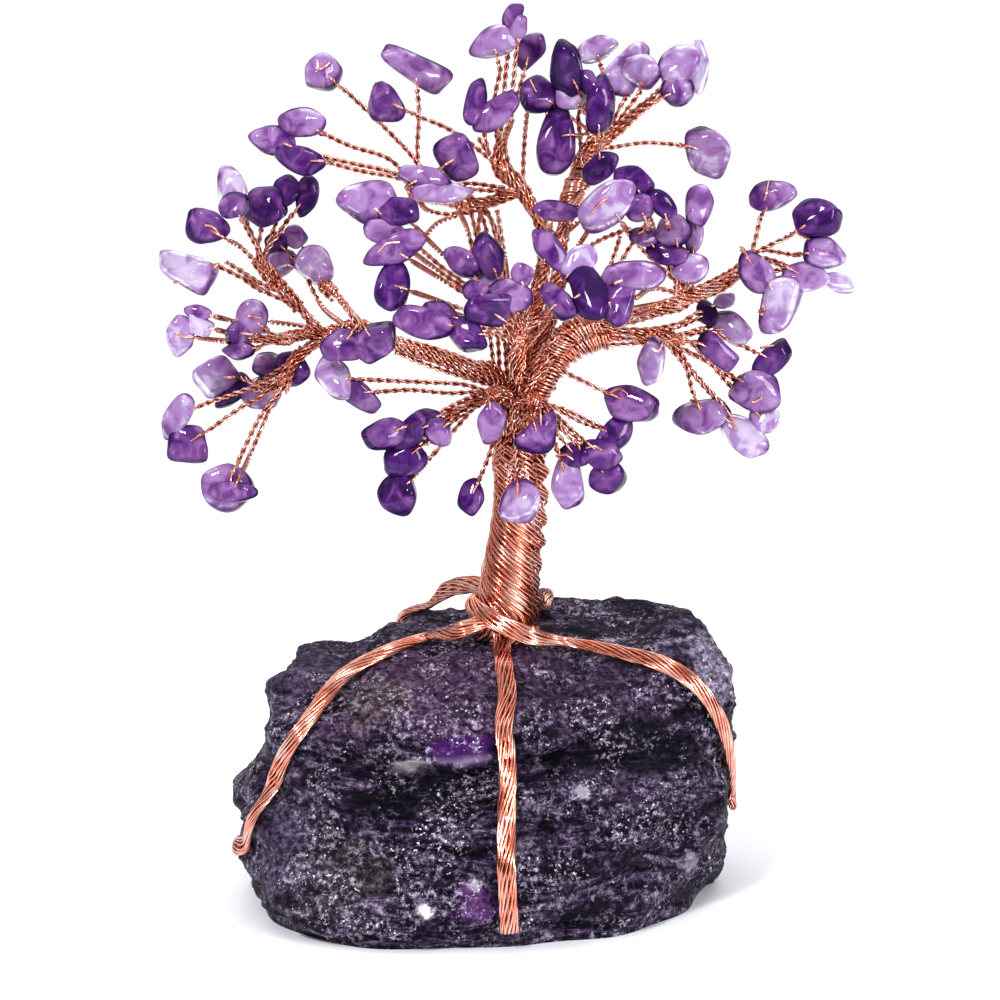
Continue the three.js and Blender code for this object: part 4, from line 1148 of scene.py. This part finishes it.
# One tone ends and the other begins at these shares of half the length.
TONE_ENDS = (-0.7, 0.7)
CHIP_SEED = 7


def chip_axes(chip, order):
    """A chip's long, wide and thick directions: turned in the picture, and leaning back or
    forward by a share of twenty degrees that differs from chip to chip."""
    turn = math.radians(chip.turn)
    lean = CHIP_LEAN * math.sin(GOLDEN_ANGLE * order)
    along = math.cos(turn) * RIGHT + math.sin(turn) * UP
    across = math.cos(turn) * UP - math.sin(turn) * RIGHT
    along = math.cos(lean) * along + math.sin(lean) * FORWARD
    return np.stack([along, across, np.cross(across, along)])


def reach_of(chip, x, y):
    """How far an ellipse of the chip's size and turn reaches in a direction of the picture."""
    angle = math.atan2(y, x) - math.radians(chip.turn)
    return 0.5 / math.hypot(math.cos(angle) / chip.length, math.sin(angle) / chip.width)


def touching_step(chip, neighbour):
    """How far behind its neighbour a chip lies so that the two touch, taken as ellipsoids."""
    x = (chip.u - neighbour.u) * PIXEL
    y = (neighbour.v - chip.v) * PIXEL
    share = math.hypot(x, y) / (reach_of(chip, x, y) + reach_of(neighbour, x, y))
    thickness = THICKNESS_SHARE * (chip.width + neighbour.width) / 2
    return thickness * math.sqrt(max(0.0, TOUCH_SHARE**2 - share**2))


def ball(count):
    """A unit ball without poles: the six faces of a cube as grids, each point drawn to distance
    one. Angles are even along a grid line, so the squares are alike."""
    line = np.tan(np.linspace(-1, 1, count + 1) * math.pi / 4)
    a, b = np.meshgrid(line, line, indexing="ij")
    one = np.ones_like(a)
    sheets = [(a, b, one), (b, a, -one), (one, a, b), (-one, b, a), (b, one, a), (a, -one, b)]
    points = np.concatenate([np.stack(sheet, axis=-1).reshape(-1, 3) for sheet in sheets])
    index = np.arange(len(points)).reshape(6, count + 1, count + 1)
    corners = (index[:, :-1, :-1], index[:, 1:, :-1], index[:, 1:, 1:], index[:, :-1, 1:])
    faces = np.stack(corners, axis=-1).reshape(-1, 4)
    _, first, same = np.unique(points.round(6), axis=0, return_index=True, return_inverse=True)
    return unit(points[first]), same.ravel()[faces]


BALL_POINTS, BALL_FACES = ball(BALL_STEPS)


def chip_form(corners, order):
    """A tumbled pebble in the unit box: the round-off of a many-sided block. Each side is a plane,
    and a direction's distance is the soft least of its distances to the planes, so a higher power
    leaves flatter sides. The first planes make the outline, the others the two broad faces, and
    slow noise dents it."""
    pick = np.random.default_rng(order + CHIP_SEED)
    uneven = pick.uniform(-CORNER_SPREAD, CORNER_SPREAD, corners)
    angle = TURN * (np.arange(corners) + uneven) / corners
    angle += pick.uniform(0, TURN) if corners > 4 else math.pi
    tilt = pick.uniform(-SIDE_TILT, SIDE_TILT, corners)
    outline = np.stack([np.cos(angle) * np.cos(tilt), np.sin(angle) * np.cos(tilt), np.sin(tilt)], axis=1)
    slope = pick.uniform(-FACE_SLOPE, FACE_SLOPE, (6, 2))
    face = unit(np.column_stack([slope, [1, 1, 1, -1, -1, -1]]))
    planes = np.vstack([outline, face])
    away = np.concatenate([pick.uniform(*SIDE_REACH, corners), pick.uniform(*FACE_REACH, 6)])
    power = pick.uniform(*FLATNESS) if corners > 3 else TRIANGLE_FLATNESS
    facing = np.clip(BALL_POINTS @ (planes / away[:, None]).T, 0, None)
    distance = (facing**power).sum(axis=1)**(-1 / power)
    dents = 1 + DENT_DEPTH * layered_noise(BALL_POINTS * DENT_SIZE + DENT_LANE * order, 2, seed=order)
    form = BALL_POINTS * (distance * dents)[:, None]
    low, high = form.min(axis=0), form.max(axis=0)
    return (2 * form - low - high) / (high - low)


def chip_part(chip, depth, order):
    """The chip's form, narrowed to one end, sized and put in its place, with its tones. These are
    darkened at the rim as painted shade, for the dark outline that the stones' edges show."""
    form = chip_form(chip.corners, order)
    narrowed = 1 + chip.taper * form[:, 0]
    form = form * np.stack([np.ones_like(narrowed), narrowed, narrowed**0.5], axis=1)
    form[:, 1:] /= np.abs(form[:, 1:]).max(axis=0)
    size = np.array([chip.length, chip.width, chip.width * THICKNESS_SHARE]) / 2
    tones = [TONES[letter] for letter in chip.tones]
    # Painted shade: the tone is darkened towards the rim, for the dark outline of the stone's edges.
    from_middle = np.hypot(BALL_POINTS[:, 0], BALL_POINTS[:, 1])
    rim = np.clip((from_middle - PAINTED_RIM_START) / (1 - PAINTED_RIM_START), 0, 1)
    tone = np.interp(form[:, 0], TONE_ENDS, (tones[0], tones[-1])) - PAINTED_RIM_SHADE * rim**2
    return place((chip.u, chip.v, depth)) + (form * size) @ chip_axes(chip, order), tone


def make_chips():
    """Every group is one piece. Returns each chip with its depth, knot and order for its twig."""
    hung = []
    for name, (knot, group_depth, rows) in CHIPS.items():
        chips = [Chip(*row) for row in rows]
        depths, parts, tones = [], [], []
        for chip in chips:
            step = chip.side * touching_step(chip, chips[chip.touched])
            depths.append(depths[chip.touched] + step if depths else group_depth)
            points, tone = chip_part(chip, depths[-1], len(hung))
            parts.append((points, BALL_FACES))
            tones.append(tone)
            hung.append((chip, depths[-1], knot, len(hung)))
        build("amethyst_" + name, parts, AMETHYST, ["chips_" + name],
              {"tone": np.concatenate(tones)})
    return hung


# The branches

# Each rope of a branch: its radius at its start and at its end, then the places it passes.
ROPES = {
    "left": [
        ((1.4, 0.9), [(512, 400, -1), (499, 378, -1), (470, 368, 0), (440, 357, 1), (395, 342, 2),
                      (357, 326, 3), (322, 335, 3)]),
        ((0.8, 0.5), [(322, 335, 3), (297, 305, 3), (262, 264, 1)]),
        ((0.6, 0.5), [(362, 329, 2.5), (338, 296, 6), (326, 284, 7)]),
        ((0.6, 0.5), [(326, 333, 3.5), (280, 340, 0)]),
        ((0.7, 0.5), [(340, 333, 3), (300, 352, 2), (284, 386, -1)]),
    ],
    "top": [((1.3, 0.9), [(517, 400, 2), (519, 372, 3), (531, 320, 4), (541, 280, 4), (544, 235, 4),
                          (522, 192, 3), (497, 165, 2)])],
    "upper_left": [((0.9, 0.7), [(516, 193, 2), (480, 203, 1), (445, 196, 2), (410, 190, 2)])],
    "top_right": [((1.2, 0.9), [(522, 402, 0), (533, 374, 1), (549, 320, 1), (558, 275, 1), (564, 228, 1),
                                (584, 160, 4), (600, 138, 5)])],
    "right_upper": [((1.3, 0.7), [(522, 402, -2), (538, 368, -2), (572, 330, -2), (625, 318, -1),
                                  (690, 297, 1), (735, 272, 3), (752, 256, 3)])],
    "right_low": [((1.2, 0.8), [(526, 405, -1), (541, 381, -1), (570, 348, 1), (600, 336, 2),
                                (655, 335, 2), (684, 340, 2)])],
    "middle": [((1.0, 0.8), [(515, 405, -3), (516, 378, -5), (520, 350, -5), (521, 326, -6)])],
    "low_left": [((0.8, 0.7), [(512, 405, -4), (505, 396, -6), (484, 396, -6)])],
    "low_right": [((0.8, 0.7), [(518, 408, -4), (523, 396, -6), (540, 404, -6)])],
}
# The knots, from which twigs leave: the branch and the place.
KNOTS = {
    "left_fork": ("left", (262, 264, 1)), "left_small": ("left", (357, 326, 3)),
    "left_inner": ("left", (326, 284, 7)), "left_low": ("left", (280, 340, 0)),
    "left_fan": ("left", (284, 386, -1)), "top": ("top", (497, 165, 2)),
    "upper_left": ("upper_left", (410, 190, 2)), "top_right": ("top_right", (600, 138, 5)),
    "right_upper": ("right_upper", (684, 299, 1)), "right_fork": ("right_upper", (752, 256, 3)),
    "right": ("right_low", (655, 335, 2)), "right_low": ("right_low", (684, 340, 2)),
    "middle": ("middle", (521, 330, -6)), "lower_left": ("low_left", (486, 396, -6)),
    "lower_right": ("low_right", (538, 403, -6)),
}
# The pixels that a twig passes between its knot and its chip, where the photograph shows them.
BENDS = {
    (323, 73): [(418, 165), (385, 128), (350, 95)],
    (303, 122): [(390, 160), (350, 146), (316, 130)],
    (272, 140): [(395, 174), (350, 163), (305, 152)],
    (299, 160): [(400, 179), (360, 171), (327, 162)],
    (415, 68): [(419, 165), (419, 110)],
    (388, 103): [(488, 158), (450, 130), (420, 117)],
    (493, 42): [(496, 130), (495, 97), (500, 70)],
    (234, 205): [(262, 258), (243, 222)],
    (207, 228): [(262, 268), (240, 247)],
    (185, 270): [(266, 292), (240, 277), (217, 266)],
    (228, 488): [(283, 388), (262, 414), (240, 458)],
    (187, 444): [(262, 396), (245, 405), (212, 428)],
    (177, 417): [(245, 390), (205, 404)],
    (708, 153): [(610, 148), (645, 143), (678, 145)],
    (641, 71): [(603, 140), (640, 92)],
    (680, 65): [(602, 146), (620, 127), (650, 101)],
    (678, 91): [(600, 150), (620, 133), (652, 103)],
    (596, 49): [(600, 140), (604, 100), (603, 73)],
    (773, 195): [(752, 250), (760, 220)],
    (816, 219): [(757, 252), (785, 238)],
    (335, 378): [(470, 386), (420, 382), (370, 380)],
    (355, 392): [(450, 393), (410, 390), (378, 392)],
    (631, 404): [(550, 367), (572, 376), (603, 391)],
    (471, 498): [(490, 452), (480, 478)],
    (518, 501): [(515, 405), (517, 450), (517, 478)],
    (651, 362): [(662, 345)],
    (702, 417): [(683, 362), (692, 390)],
    (742, 434): [(690, 368), (722, 404)],
    (757, 391): [(676, 347), (705, 360), (735, 378)],
    (772, 360): [(700, 330), (740, 345)],
}
# Wires that cross the front of a chip, by the chip's middle, as the photograph shows them.
CROSSINGS = {
    (323, 73): [(316, 70), (323, 68), (330, 62)],
    (272, 140): [(277, 155), (288, 155), (298, 151)],
    (185, 270): [(174, 283), (190, 280), (205, 275), (219, 263)],
    (207, 228): [(205, 225), (213, 227), (220, 235)],
    (773, 195): [(769, 180), (766, 195), (761, 211)],
    (816, 219): [(798, 222), (796, 232), (806, 238), (822, 239)],
    (826, 253): [(808, 260), (818, 254), (828, 251)],
    (708, 153): [(682, 147), (692, 139), (701, 137)],
    (757, 391): [(744, 399), (752, 402), (762, 398)],
    (772, 360): [(760, 348), (775, 346), (783, 352), (784, 362)],
    (780, 304): [(762, 315), (759, 311), (765, 309)],
    (702, 417): [(690, 400), (698, 402), (702, 408)],
    (742, 434): [(725, 418), (732, 424), (737, 430)],
    (631, 404): [(609, 393), (618, 389), (628, 394)],
    (608, 205): [(590, 215), (598, 205), (608, 198)],
    (602, 455): [(586, 448), (594, 446), (602, 450)],
    (575, 455): [(556, 456), (566, 455), (578, 464)],
    (541, 433): [(530, 416), (534, 422), (536, 432)],
    (252, 318): [(235, 320), (248, 316), (262, 318)],
    (180, 336): [(176, 334), (186, 337), (196, 338)],
    (400, 212): [(386, 222), (400, 222), (412, 216)],
    (394, 250): [(378, 252), (386, 244), (400, 242)],
    (662, 204): [(650, 196), (655, 204), (652, 214)],
    (228, 488): [(232, 470), (231, 482), (233, 492)],
    (538, 94): [(530, 80), (536, 92)],
}
# Further pairs that show between the ropes, with the depth at each pixel.
STEMS = {
    "left": [
        [(240, 270, -3), (262, 290, 0), (297, 308, 2), (322, 335, 3)],
        [(226, 262, -6), (258, 282, -3), (292, 300, 1), (322, 331, 4)],
        [(252, 262, 2), (272, 285, 2), (303, 309, 3), (326, 333, 3)],
        [(270, 322, -7), (295, 325, -2), (325, 330, 2)],
        [(222, 342, -10), (262, 341, -5), (310, 336, 1)],
        [(245, 390, 2), (275, 372, 1), (310, 350, 2), (345, 336, 3)],
        [(285, 357, 0), (320, 344, 2), (360, 336, 2)],
        [(302, 268, 7), (318, 300, 5), (345, 326, 3)],
        [(318, 276, 8), (335, 294, 6), (352, 312, 4), (362, 330, 3)],
        [(395, 352, 2), (430, 366, 1), (470, 379, 0), (500, 388, -1)],
        [(360, 330, 3), (400, 350, 3), (445, 352, 2), (480, 372, 0)],
    ],
    "upper_left": [
        [(408, 190, 2), (440, 186, -1), (480, 190, 0), (515, 192, 2)],
        [(410, 196, 2), (445, 204, 3), (485, 207, 2), (518, 195, 2)],
        [(425, 236, -12), (440, 222, -6), (470, 212, 0), (512, 197, 2)],
        [(418, 200, -3), (432, 212, -4), (455, 214, -2), (500, 200, 2)],
        [(436, 200, -2), (444, 194, -1), (462, 184, 0), (505, 188, 2)],
    ],
    "top": [
        [(458, 208, 0), (470, 240, -1), (478, 280, -2), (502, 315, -3)],
        [(480, 212, 0), (478, 245, -1), (488, 280, -2), (506, 320, -3)],
        [(497, 210, -3), (503, 245, -4), (508, 284, -5)],
        [(522, 192, 3), (533, 212, 2), (545, 225, 1), (560, 242, 1)],
        [(478, 138, 0), (496, 165, 2), (520, 190, 3)],
        [(512, 120, 2), (505, 150, 2), (518, 188, 3)],
        [(528, 100, 8), (524, 145, 5), (523, 190, 3)],
        [(503, 96, 3), (498, 130, 3), (500, 168, 2)],
    ],
    "top_right": [
        [(664, 86, 12), (640, 106, 10), (618, 124, 8), (598, 148, 5)],
        [(633, 90, 7), (622, 104, 6), (610, 128, 6), (594, 156, 4)],
        [(584, 92, 1), (583, 104, 2), (578, 116, 3), (580, 134, 3), (583, 165, 3)],
        [(600, 178, -3), (585, 188, -1), (570, 205, 1)],
        [(590, 228, -12), (575, 250, -5), (558, 268, 0)],
        [(578, 222, -8), (562, 237, -3), (550, 258, 0)],
        [(610, 130, 5), (590, 165, 3), (574, 205, 1), (562, 240, 0)],
        [(545, 112, 1), (560, 130, 3), (578, 165, 3)],
    ],
    "right_upper": [
        [(630, 228, -9), (600, 240, -6), (576, 256, -3), (562, 290, -1)],
        [(620, 236, -9), (612, 262, -7), (598, 302, -3)],
        [(648, 220, -8), (622, 260, -6), (606, 302, -3)],
        [(678, 262, -6), (676, 280, -3), (674, 299, 0)],
        [(635, 298, -4), (660, 289, -2), (690, 297, 0)],
        [(630, 309, -3), (660, 303, -2), (700, 294, 1)],
        [(632, 318, -1), (660, 309, 0), (692, 301, 1), (722, 288, 2)],
        [(690, 303, 2), (722, 290, 3), (750, 266, 3)],
        [(690, 291, 1), (712, 281, 1), (745, 262, 3)],
        [(752, 258, 3), (768, 270, 0), (794, 268, -1)],
    ],
    "right_low": [
        [(590, 346, 1), (650, 342, 1), (712, 326, 1)],
        [(600, 329, 3), (650, 329, 3), (705, 318, 2)],
        [(664, 340, 2), (700, 358, 2), (735, 380, 3)],
        [(662, 338, 2), (682, 362, 2), (718, 402, 3)],
        [(654, 352, -6), (666, 343, -1), (684, 338, 2)],
    ],
    "low_left": [
        [(408, 450, -14), (440, 425, -9), (480, 398, -5)],
        [(428, 444, -13), (455, 420, -8), (492, 398, -5)],
        [(424, 424, -13), (452, 406, -9), (495, 388, -4)],
    ],
    "low_right": [
        [(535, 402, -5), (565, 410, -5), (608, 430, -6)],
        [(535, 408, -5), (562, 430, -5), (598, 450, -7)],
        [(528, 410, -7), (545, 436, -8), (560, 454, -7)],
    ],
    "middle": [
        [(440, 308, -17), (474, 322, -10), (515, 346, -5)],
        [(520, 350, -5), (500, 322, -8), (482, 296, -14)],
        [(560, 300, -18), (545, 325, -10), (524, 350, -5)],
    ],
}
# The pairs that cross in the crown: how many for each branch, the pixels where they leave the trunk,
# how far along the branch they join it, how much they sway, and how the trunk's front curves there.
CROWN_PAIRS = 4
CROWN_U = (502, 532)
CROWN_V = (425, 450)
CROWN_JOIN = (9, 20)
CROWN_SWAY = 1.1
TRUNK_FRONT = -3.3
TRUNK_U = 517
TRUNK_CURVE = 0.12
CROWN_SEED = 70
# The wraps round ropes: the branch, the radius and the places that they pass.
WRAPS = [
    ("right_low", 1.75, [(531, 398, -1), (545, 378, -1), (562, 356, 0), (585, 341, 1), (606, 336, 2)]),
    ("top", 1.7, [(517, 384, 2), (521, 362, 3), (527, 338, 4)]),
    ("right_upper", 1.5, [(552, 352, -2), (572, 331, -2), (598, 322, -1)]),
    ("top_right", 1.3, [(570, 205, 1), (577, 180, 3), (588, 154, 4)]),
    ("upper_left", 1.1, [(470, 203, 1), (448, 197, 2), (425, 192, 2)]),
]
WRAP_WIRES = 5
STEM_PHASE = 2.1
# A knot's wraps: how many, the wires of each, how they slant, their radius and how far back they start.
KNOT_WRAPS = 2
KNOT_WIRES = 3
KNOT_SLANT = 0.15
KNOT_RADIUS = (0.6, 0.8)
KNOT_LENGTH = 1.6
# A twig starts this far aside of its rope's middle and this far back from its knot. With no bend
# given it passes this share of the way, give or take some pixels, at a further depth.
TWIG_ASIDE = (0.8, 0.6, 0.8)
TWIG_BACK = (2, 9)
HALFWAY = 0.55
HALFWAY_STRAY = 3
DEPTH_STRAY = 1.5
TWIG_SEED = 400
# It ends at this share of the chip's reach and some pixels further out.
EDGE_SHARE = 0.97
EDGE_GAP = 4
# Where a twig's two wires go at the chip: their radius, then the shoulder and the end, inward and to
# either face, in half widths of the chip.
LOOP_WIRE = 0.17
SHOULDER = (0.4, 0.75)
LOOP_END = (1.1, 0.35)
LOOP_EXTRA = (0.1, 0.4)
LOOP_SEED = 900
LOOP_STEPS = 14
# The least square share of its thickness that a chip is taken to have under a crossing wire.
EDGE_THICKNESS = 0.05
# A stem's end is covered by a chip within this share of the chip's length.
COVER_SHARE = 0.45


def lead_in(branch, knot, back):
    """The start and the middle of the stretch, `back` millimetres long, of a branch's rope that
    ends at a knot."""
    paths = [smooth_path(place(route), 80) for _, route in ROPES[branch]]
    path = min(paths, key=lambda one: np.linalg.norm(one - knot, axis=1).min())
    end = max(2, np.linalg.norm(path - knot, axis=1).argmin())
    distance = travelled(path)
    start = np.searchsorted(distance, max(0, distance[end] - back))
    return path[[start, (start + end) // 2]]


def twig_path(chip, depth, knot_name, order):
    """Beside the rope for a stretch, then through the bends that show, to just short of the chip's
    edge. With no bend given it goes through the knot and a place about halfway, which lies a little
    behind the knot, or before the chip where the chip lies further back."""
    pick = np.random.default_rng(order + TWIG_SEED)
    branch, at = KNOTS[knot_name]
    aside = pick.uniform(-1, 1, 3) * TWIG_ASIDE
    knot = place(at)
    start = np.vstack([lead_in(branch, knot, pick.uniform(*TWIG_BACK)), [knot]]) + aside
    chip_pixel = np.array(chip[:2], float)
    bends = BENDS.get(chip[:2])
    if bends:
        depths = np.linspace(at[2], depth, len(bends) + 2)[1:-1]
        between = [(*bend, bend_depth) for bend, bend_depth in zip(bends, depths)]
        start = start[:2]
    else:
        behind = max(at[2], depth) + DEPTH_STRAY * np.sign(at[2] - depth)
        stray = pick.uniform(-HALFWAY_STRAY, HALFWAY_STRAY, 2)
        between = [(*(at[:2] + HALFWAY * (chip_pixel - at[:2]) + stray), behind)]
    way = unit(np.array(between[-1][:2]) - chip_pixel)
    edge = chip_pixel + way * (reach_of(chip, way[0], -way[1]) * EDGE_SHARE / PIXEL + EDGE_GAP)
    return np.vstack([start, place([*between, (*edge, depth)])])


def drill_loop(chip, depth, order, path):
    """The two wires of a twig part at the chip: one bends over its front and one over its back, and
    both end inside the stone, as in its drill hole."""
    end = path[-1]
    inward = unit(place((chip.u, chip.v, depth)) - end)
    half = chip.width / 2
    further = np.random.default_rng(order + LOOP_SEED).uniform(*LOOP_EXTRA)
    parts = []
    for face in (-FORWARD, FORWARD):
        shoulder = end + half * (inward * SHOULDER[0] + face * SHOULDER[1])
        inside = end + half * (inward * (LOOP_END[0] + further) + face * LOOP_END[1])
        points = smooth_path([end - inward * 0.4, end + face * 0.3, shoulder, inside], LOOP_STEPS)
        parts.append(wire(points, LOOP_WIRE))
    return parts


def crossing(chip, depth, pixels):
    """A wire over the front of a chip, taken as an ellipsoid: as far before its middle plane as
    the ellipsoid's half thickness times the root of one less the square share of its reach."""
    route = []
    for u, v in pixels:
        x, y = (u - chip.u) * PIXEL, (chip.v - v) * PIXEL
        share = math.hypot(x, y) / reach_of(chip, x, y)
        before = THICKNESS_SHARE * chip.width / 2 * math.sqrt(max(EDGE_THICKNESS, 1 - share**2))
        route.append((u, v, depth - before))
    return wire(smooth_path(place(route), 24), LOOP_WIRE)


def knot_turns(branch, at, seed):
    """A knot: the bundle tied by two wraps of three thin wires each, at slants of their own."""
    pick = np.random.default_rng(seed)
    knot = place(at)
    before = lead_in(branch, knot, KNOT_LENGTH)[0]
    parts = []
    for _ in range(KNOT_WRAPS):
        slant = pick.normal(0, KNOT_SLANT, 3)
        route = [before + slant, (before + knot) / 2, knot - slant]
        parts += wrap(route, pick.uniform(*KNOT_RADIUS), seed, KNOT_WIRES, LOOP_WIRE)
    return parts


def crown_pairs(route, seed):
    """Pairs of wire that leave the trunk below the coil's top and join a branch further up, each
    crossing the others on its way."""
    pick = np.random.default_rng(seed + CROWN_SEED)
    path = smooth_path(place(route), 80)
    distance = travelled(path)
    parts = []
    for _ in range(CROWN_PAIRS):
        joined = np.searchsorted(distance, min(pick.uniform(*CROWN_JOIN), 0.9 * distance[-1]))
        u, v = pick.uniform(*CROWN_U), pick.uniform(*CROWN_V)
        foot = place((u, v, TRUNK_FRONT + abs(u - TRUNK_U) * TRUNK_CURVE))
        sway = pick.normal(0, CROWN_SWAY, (2, 3))
        bundle = path[[joined // 3, 2 * joined // 3]] + sway
        line = smooth_path([foot, *bundle, path[joined] + sway[0] / 3], 40)
        parts += twisted_pair(line, phase=pick.uniform(0, 6), steps=BUNDLE_STEPS)
    return parts


def meeting(end, hung):
    """The end of a stem, moved in depth into the chip that covers it, if one does."""
    covering = [depth for chip, depth, _, _ in hung
                if math.hypot(end[0] - chip.u, end[1] - chip.v) * PIXEL < COVER_SHARE * chip.length]
    return (*end[:2], min(covering, key=lambda depth: abs(depth - end[2]), default=end[2]))


def rope_parts(name, hung, seed):
    """A branch's ropes, the pairs that join them, and their knots and wraps."""
    parts = [part for radii, route in ROPES[name] for part in rope(place(route), radii, seed)]
    parts += crown_pairs(ROPES[name][0][1], seed)
    for number, stem in enumerate(STEMS[name]):
        joined = [meeting(stem[0], hung), *stem[1:-1], meeting(stem[-1], hung)]
        parts += twisted_pair(smooth_path(place(joined), 40), phase=number * STEM_PHASE)
    knots = [at for branch, at in KNOTS.values() if branch == name]
    for number, at in enumerate(knots):
        parts += knot_turns(name, at, 10 * seed + number)
    for branch, radius, route in WRAPS:
        if branch == name:
            parts += wrap(place(route), radius, seed, WRAP_WIRES)
    return parts


def twig_parts(name, hung):
    """The twigs of a branch, with the wires that go over its chips."""
    parts = []
    for chip, depth, knot, order in hung:
        if KNOTS[knot][0] == name:
            path = twig_path(chip, depth, knot, order)
            parts += twisted_pair(smooth_path(path, 50), phase=order)
            parts += drill_loop(chip, depth, order, path)
            if chip[:2] in CROSSINGS:
                parts.append(crossing(chip, depth, CROSSINGS[chip[:2]]))
    return parts


def make_branches(hung):
    """Each branch is one piece of ropes, stems, knots and wraps, and one piece of twigs."""
    for seed, name in enumerate(ROPES):
        build("rope_" + name, rope_parts(name, hung, seed), COPPER, ["branch_" + name])
        build("twigs_" + name, twig_parts(name, hung), COPPER)


make_branches(make_chips())


# The camera, the floor and the light

SENSOR = 36
FLOOR_HALF = 6.0
# Each light, in metres: where it is, what it faces, the side of its square and its watts.
TREE_MIDDLE = (0, 0, 0.07)
LIGHTS = {
    "overhead": ((0, 0.1, 1.0), (0, 0.1, 0), 1.0, 3.2),
    "key": ((-0.25, -0.62, 0.5), TREE_MIDDLE, 0.12, 5.5),
    "fill": ((0.55, -0.5, 0.25), TREE_MIDDLE, 0.2, 4.0),
    "backdrop": ((0, 1.7, 1.2), (0, 1.9, 0), 2.0, 12),
}


def make_camera():
    """Looks along the photograph's line of sight. The lens covers 1000 pixels at the tree."""
    camera = bpy.data.objects.new("camera", bpy.data.cameras.new("camera"))
    camera.data.sensor_width = SENSOR
    camera.data.lens = SENSOR * EYE_DISTANCE / (PICTURE * PIXEL)
    turned = Matrix([RIGHT, UP, -FORWARD]).transposed().to_4x4()
    camera.matrix_world = Matrix.Translation(Vector(EYE * MM)) @ turned
    camera.data.clip_start = 0.01
    bpy.context.scene.collection.objects.link(camera)
    bpy.context.scene.camera = camera


def make_floor():
    """A pale table top, wide enough to fill every view."""
    mesh = bpy.data.meshes.new("floor")
    corners = [(x * FLOOR_HALF, y * FLOOR_HALF, 0) for x, y in ((-1, -1), (1, -1), (1, 1), (-1, 1))]
    mesh.from_pydata(corners, [], [(0, 1, 2, 3)])
    material = bpy.data.materials.new("pale_floor")
    material.use_nodes = True
    tree = material.node_tree
    fill(tree, tree.nodes["Principled BSDF"], {"Base Color": colour("#F1F2F8"), "Roughness": 0.6})
    mesh.materials.append(material)
    floor = bpy.data.objects.new("floor", mesh)
    bpy.context.scene.collection.objects.link(floor)


def make_light(name, at, towards, size, watts):
    """A square light that faces a point."""
    lamp = bpy.data.objects.new(name, bpy.data.lights.new(name, "AREA"))
    lamp.data.size = size
    lamp.data.energy = watts
    lamp.location = at
    lamp.rotation_euler = (Vector(towards) - Vector(at)).to_track_quat("-Z", "Y").to_euler()
    bpy.context.scene.collection.objects.link(lamp)


def make_studio():
    """A tent, white overhead and grey round the horizon, so that copper and stones have dark edges.
    The lights are a wide one overhead, a small key at the front left, a larger fill at the front
    right, and a wide one over the floor behind the tree."""
    world = bpy.data.worlds.new("studio")
    world.use_nodes = True
    tree = world.node_tree
    direction = add(tree, "TexCoord")
    height = add(tree, "SeparateXYZ", {"Vector": direction.outputs["Generated"]})
    tent = ramp(tree, height.outputs["Z"], [(0.05, "#3E3E44"), (0.35, "#8C8C92"), (0.75, "#FFFFFF")])
    fill(tree, tree.nodes["Background"], {"Color": tent, "Strength": 1.0})
    bpy.context.scene.world = world
    bpy.context.scene.view_settings.view_transform = "Standard"
    for name, light in LIGHTS.items():
        make_light(name, *light)


make_camera()
make_floor()
make_studio()
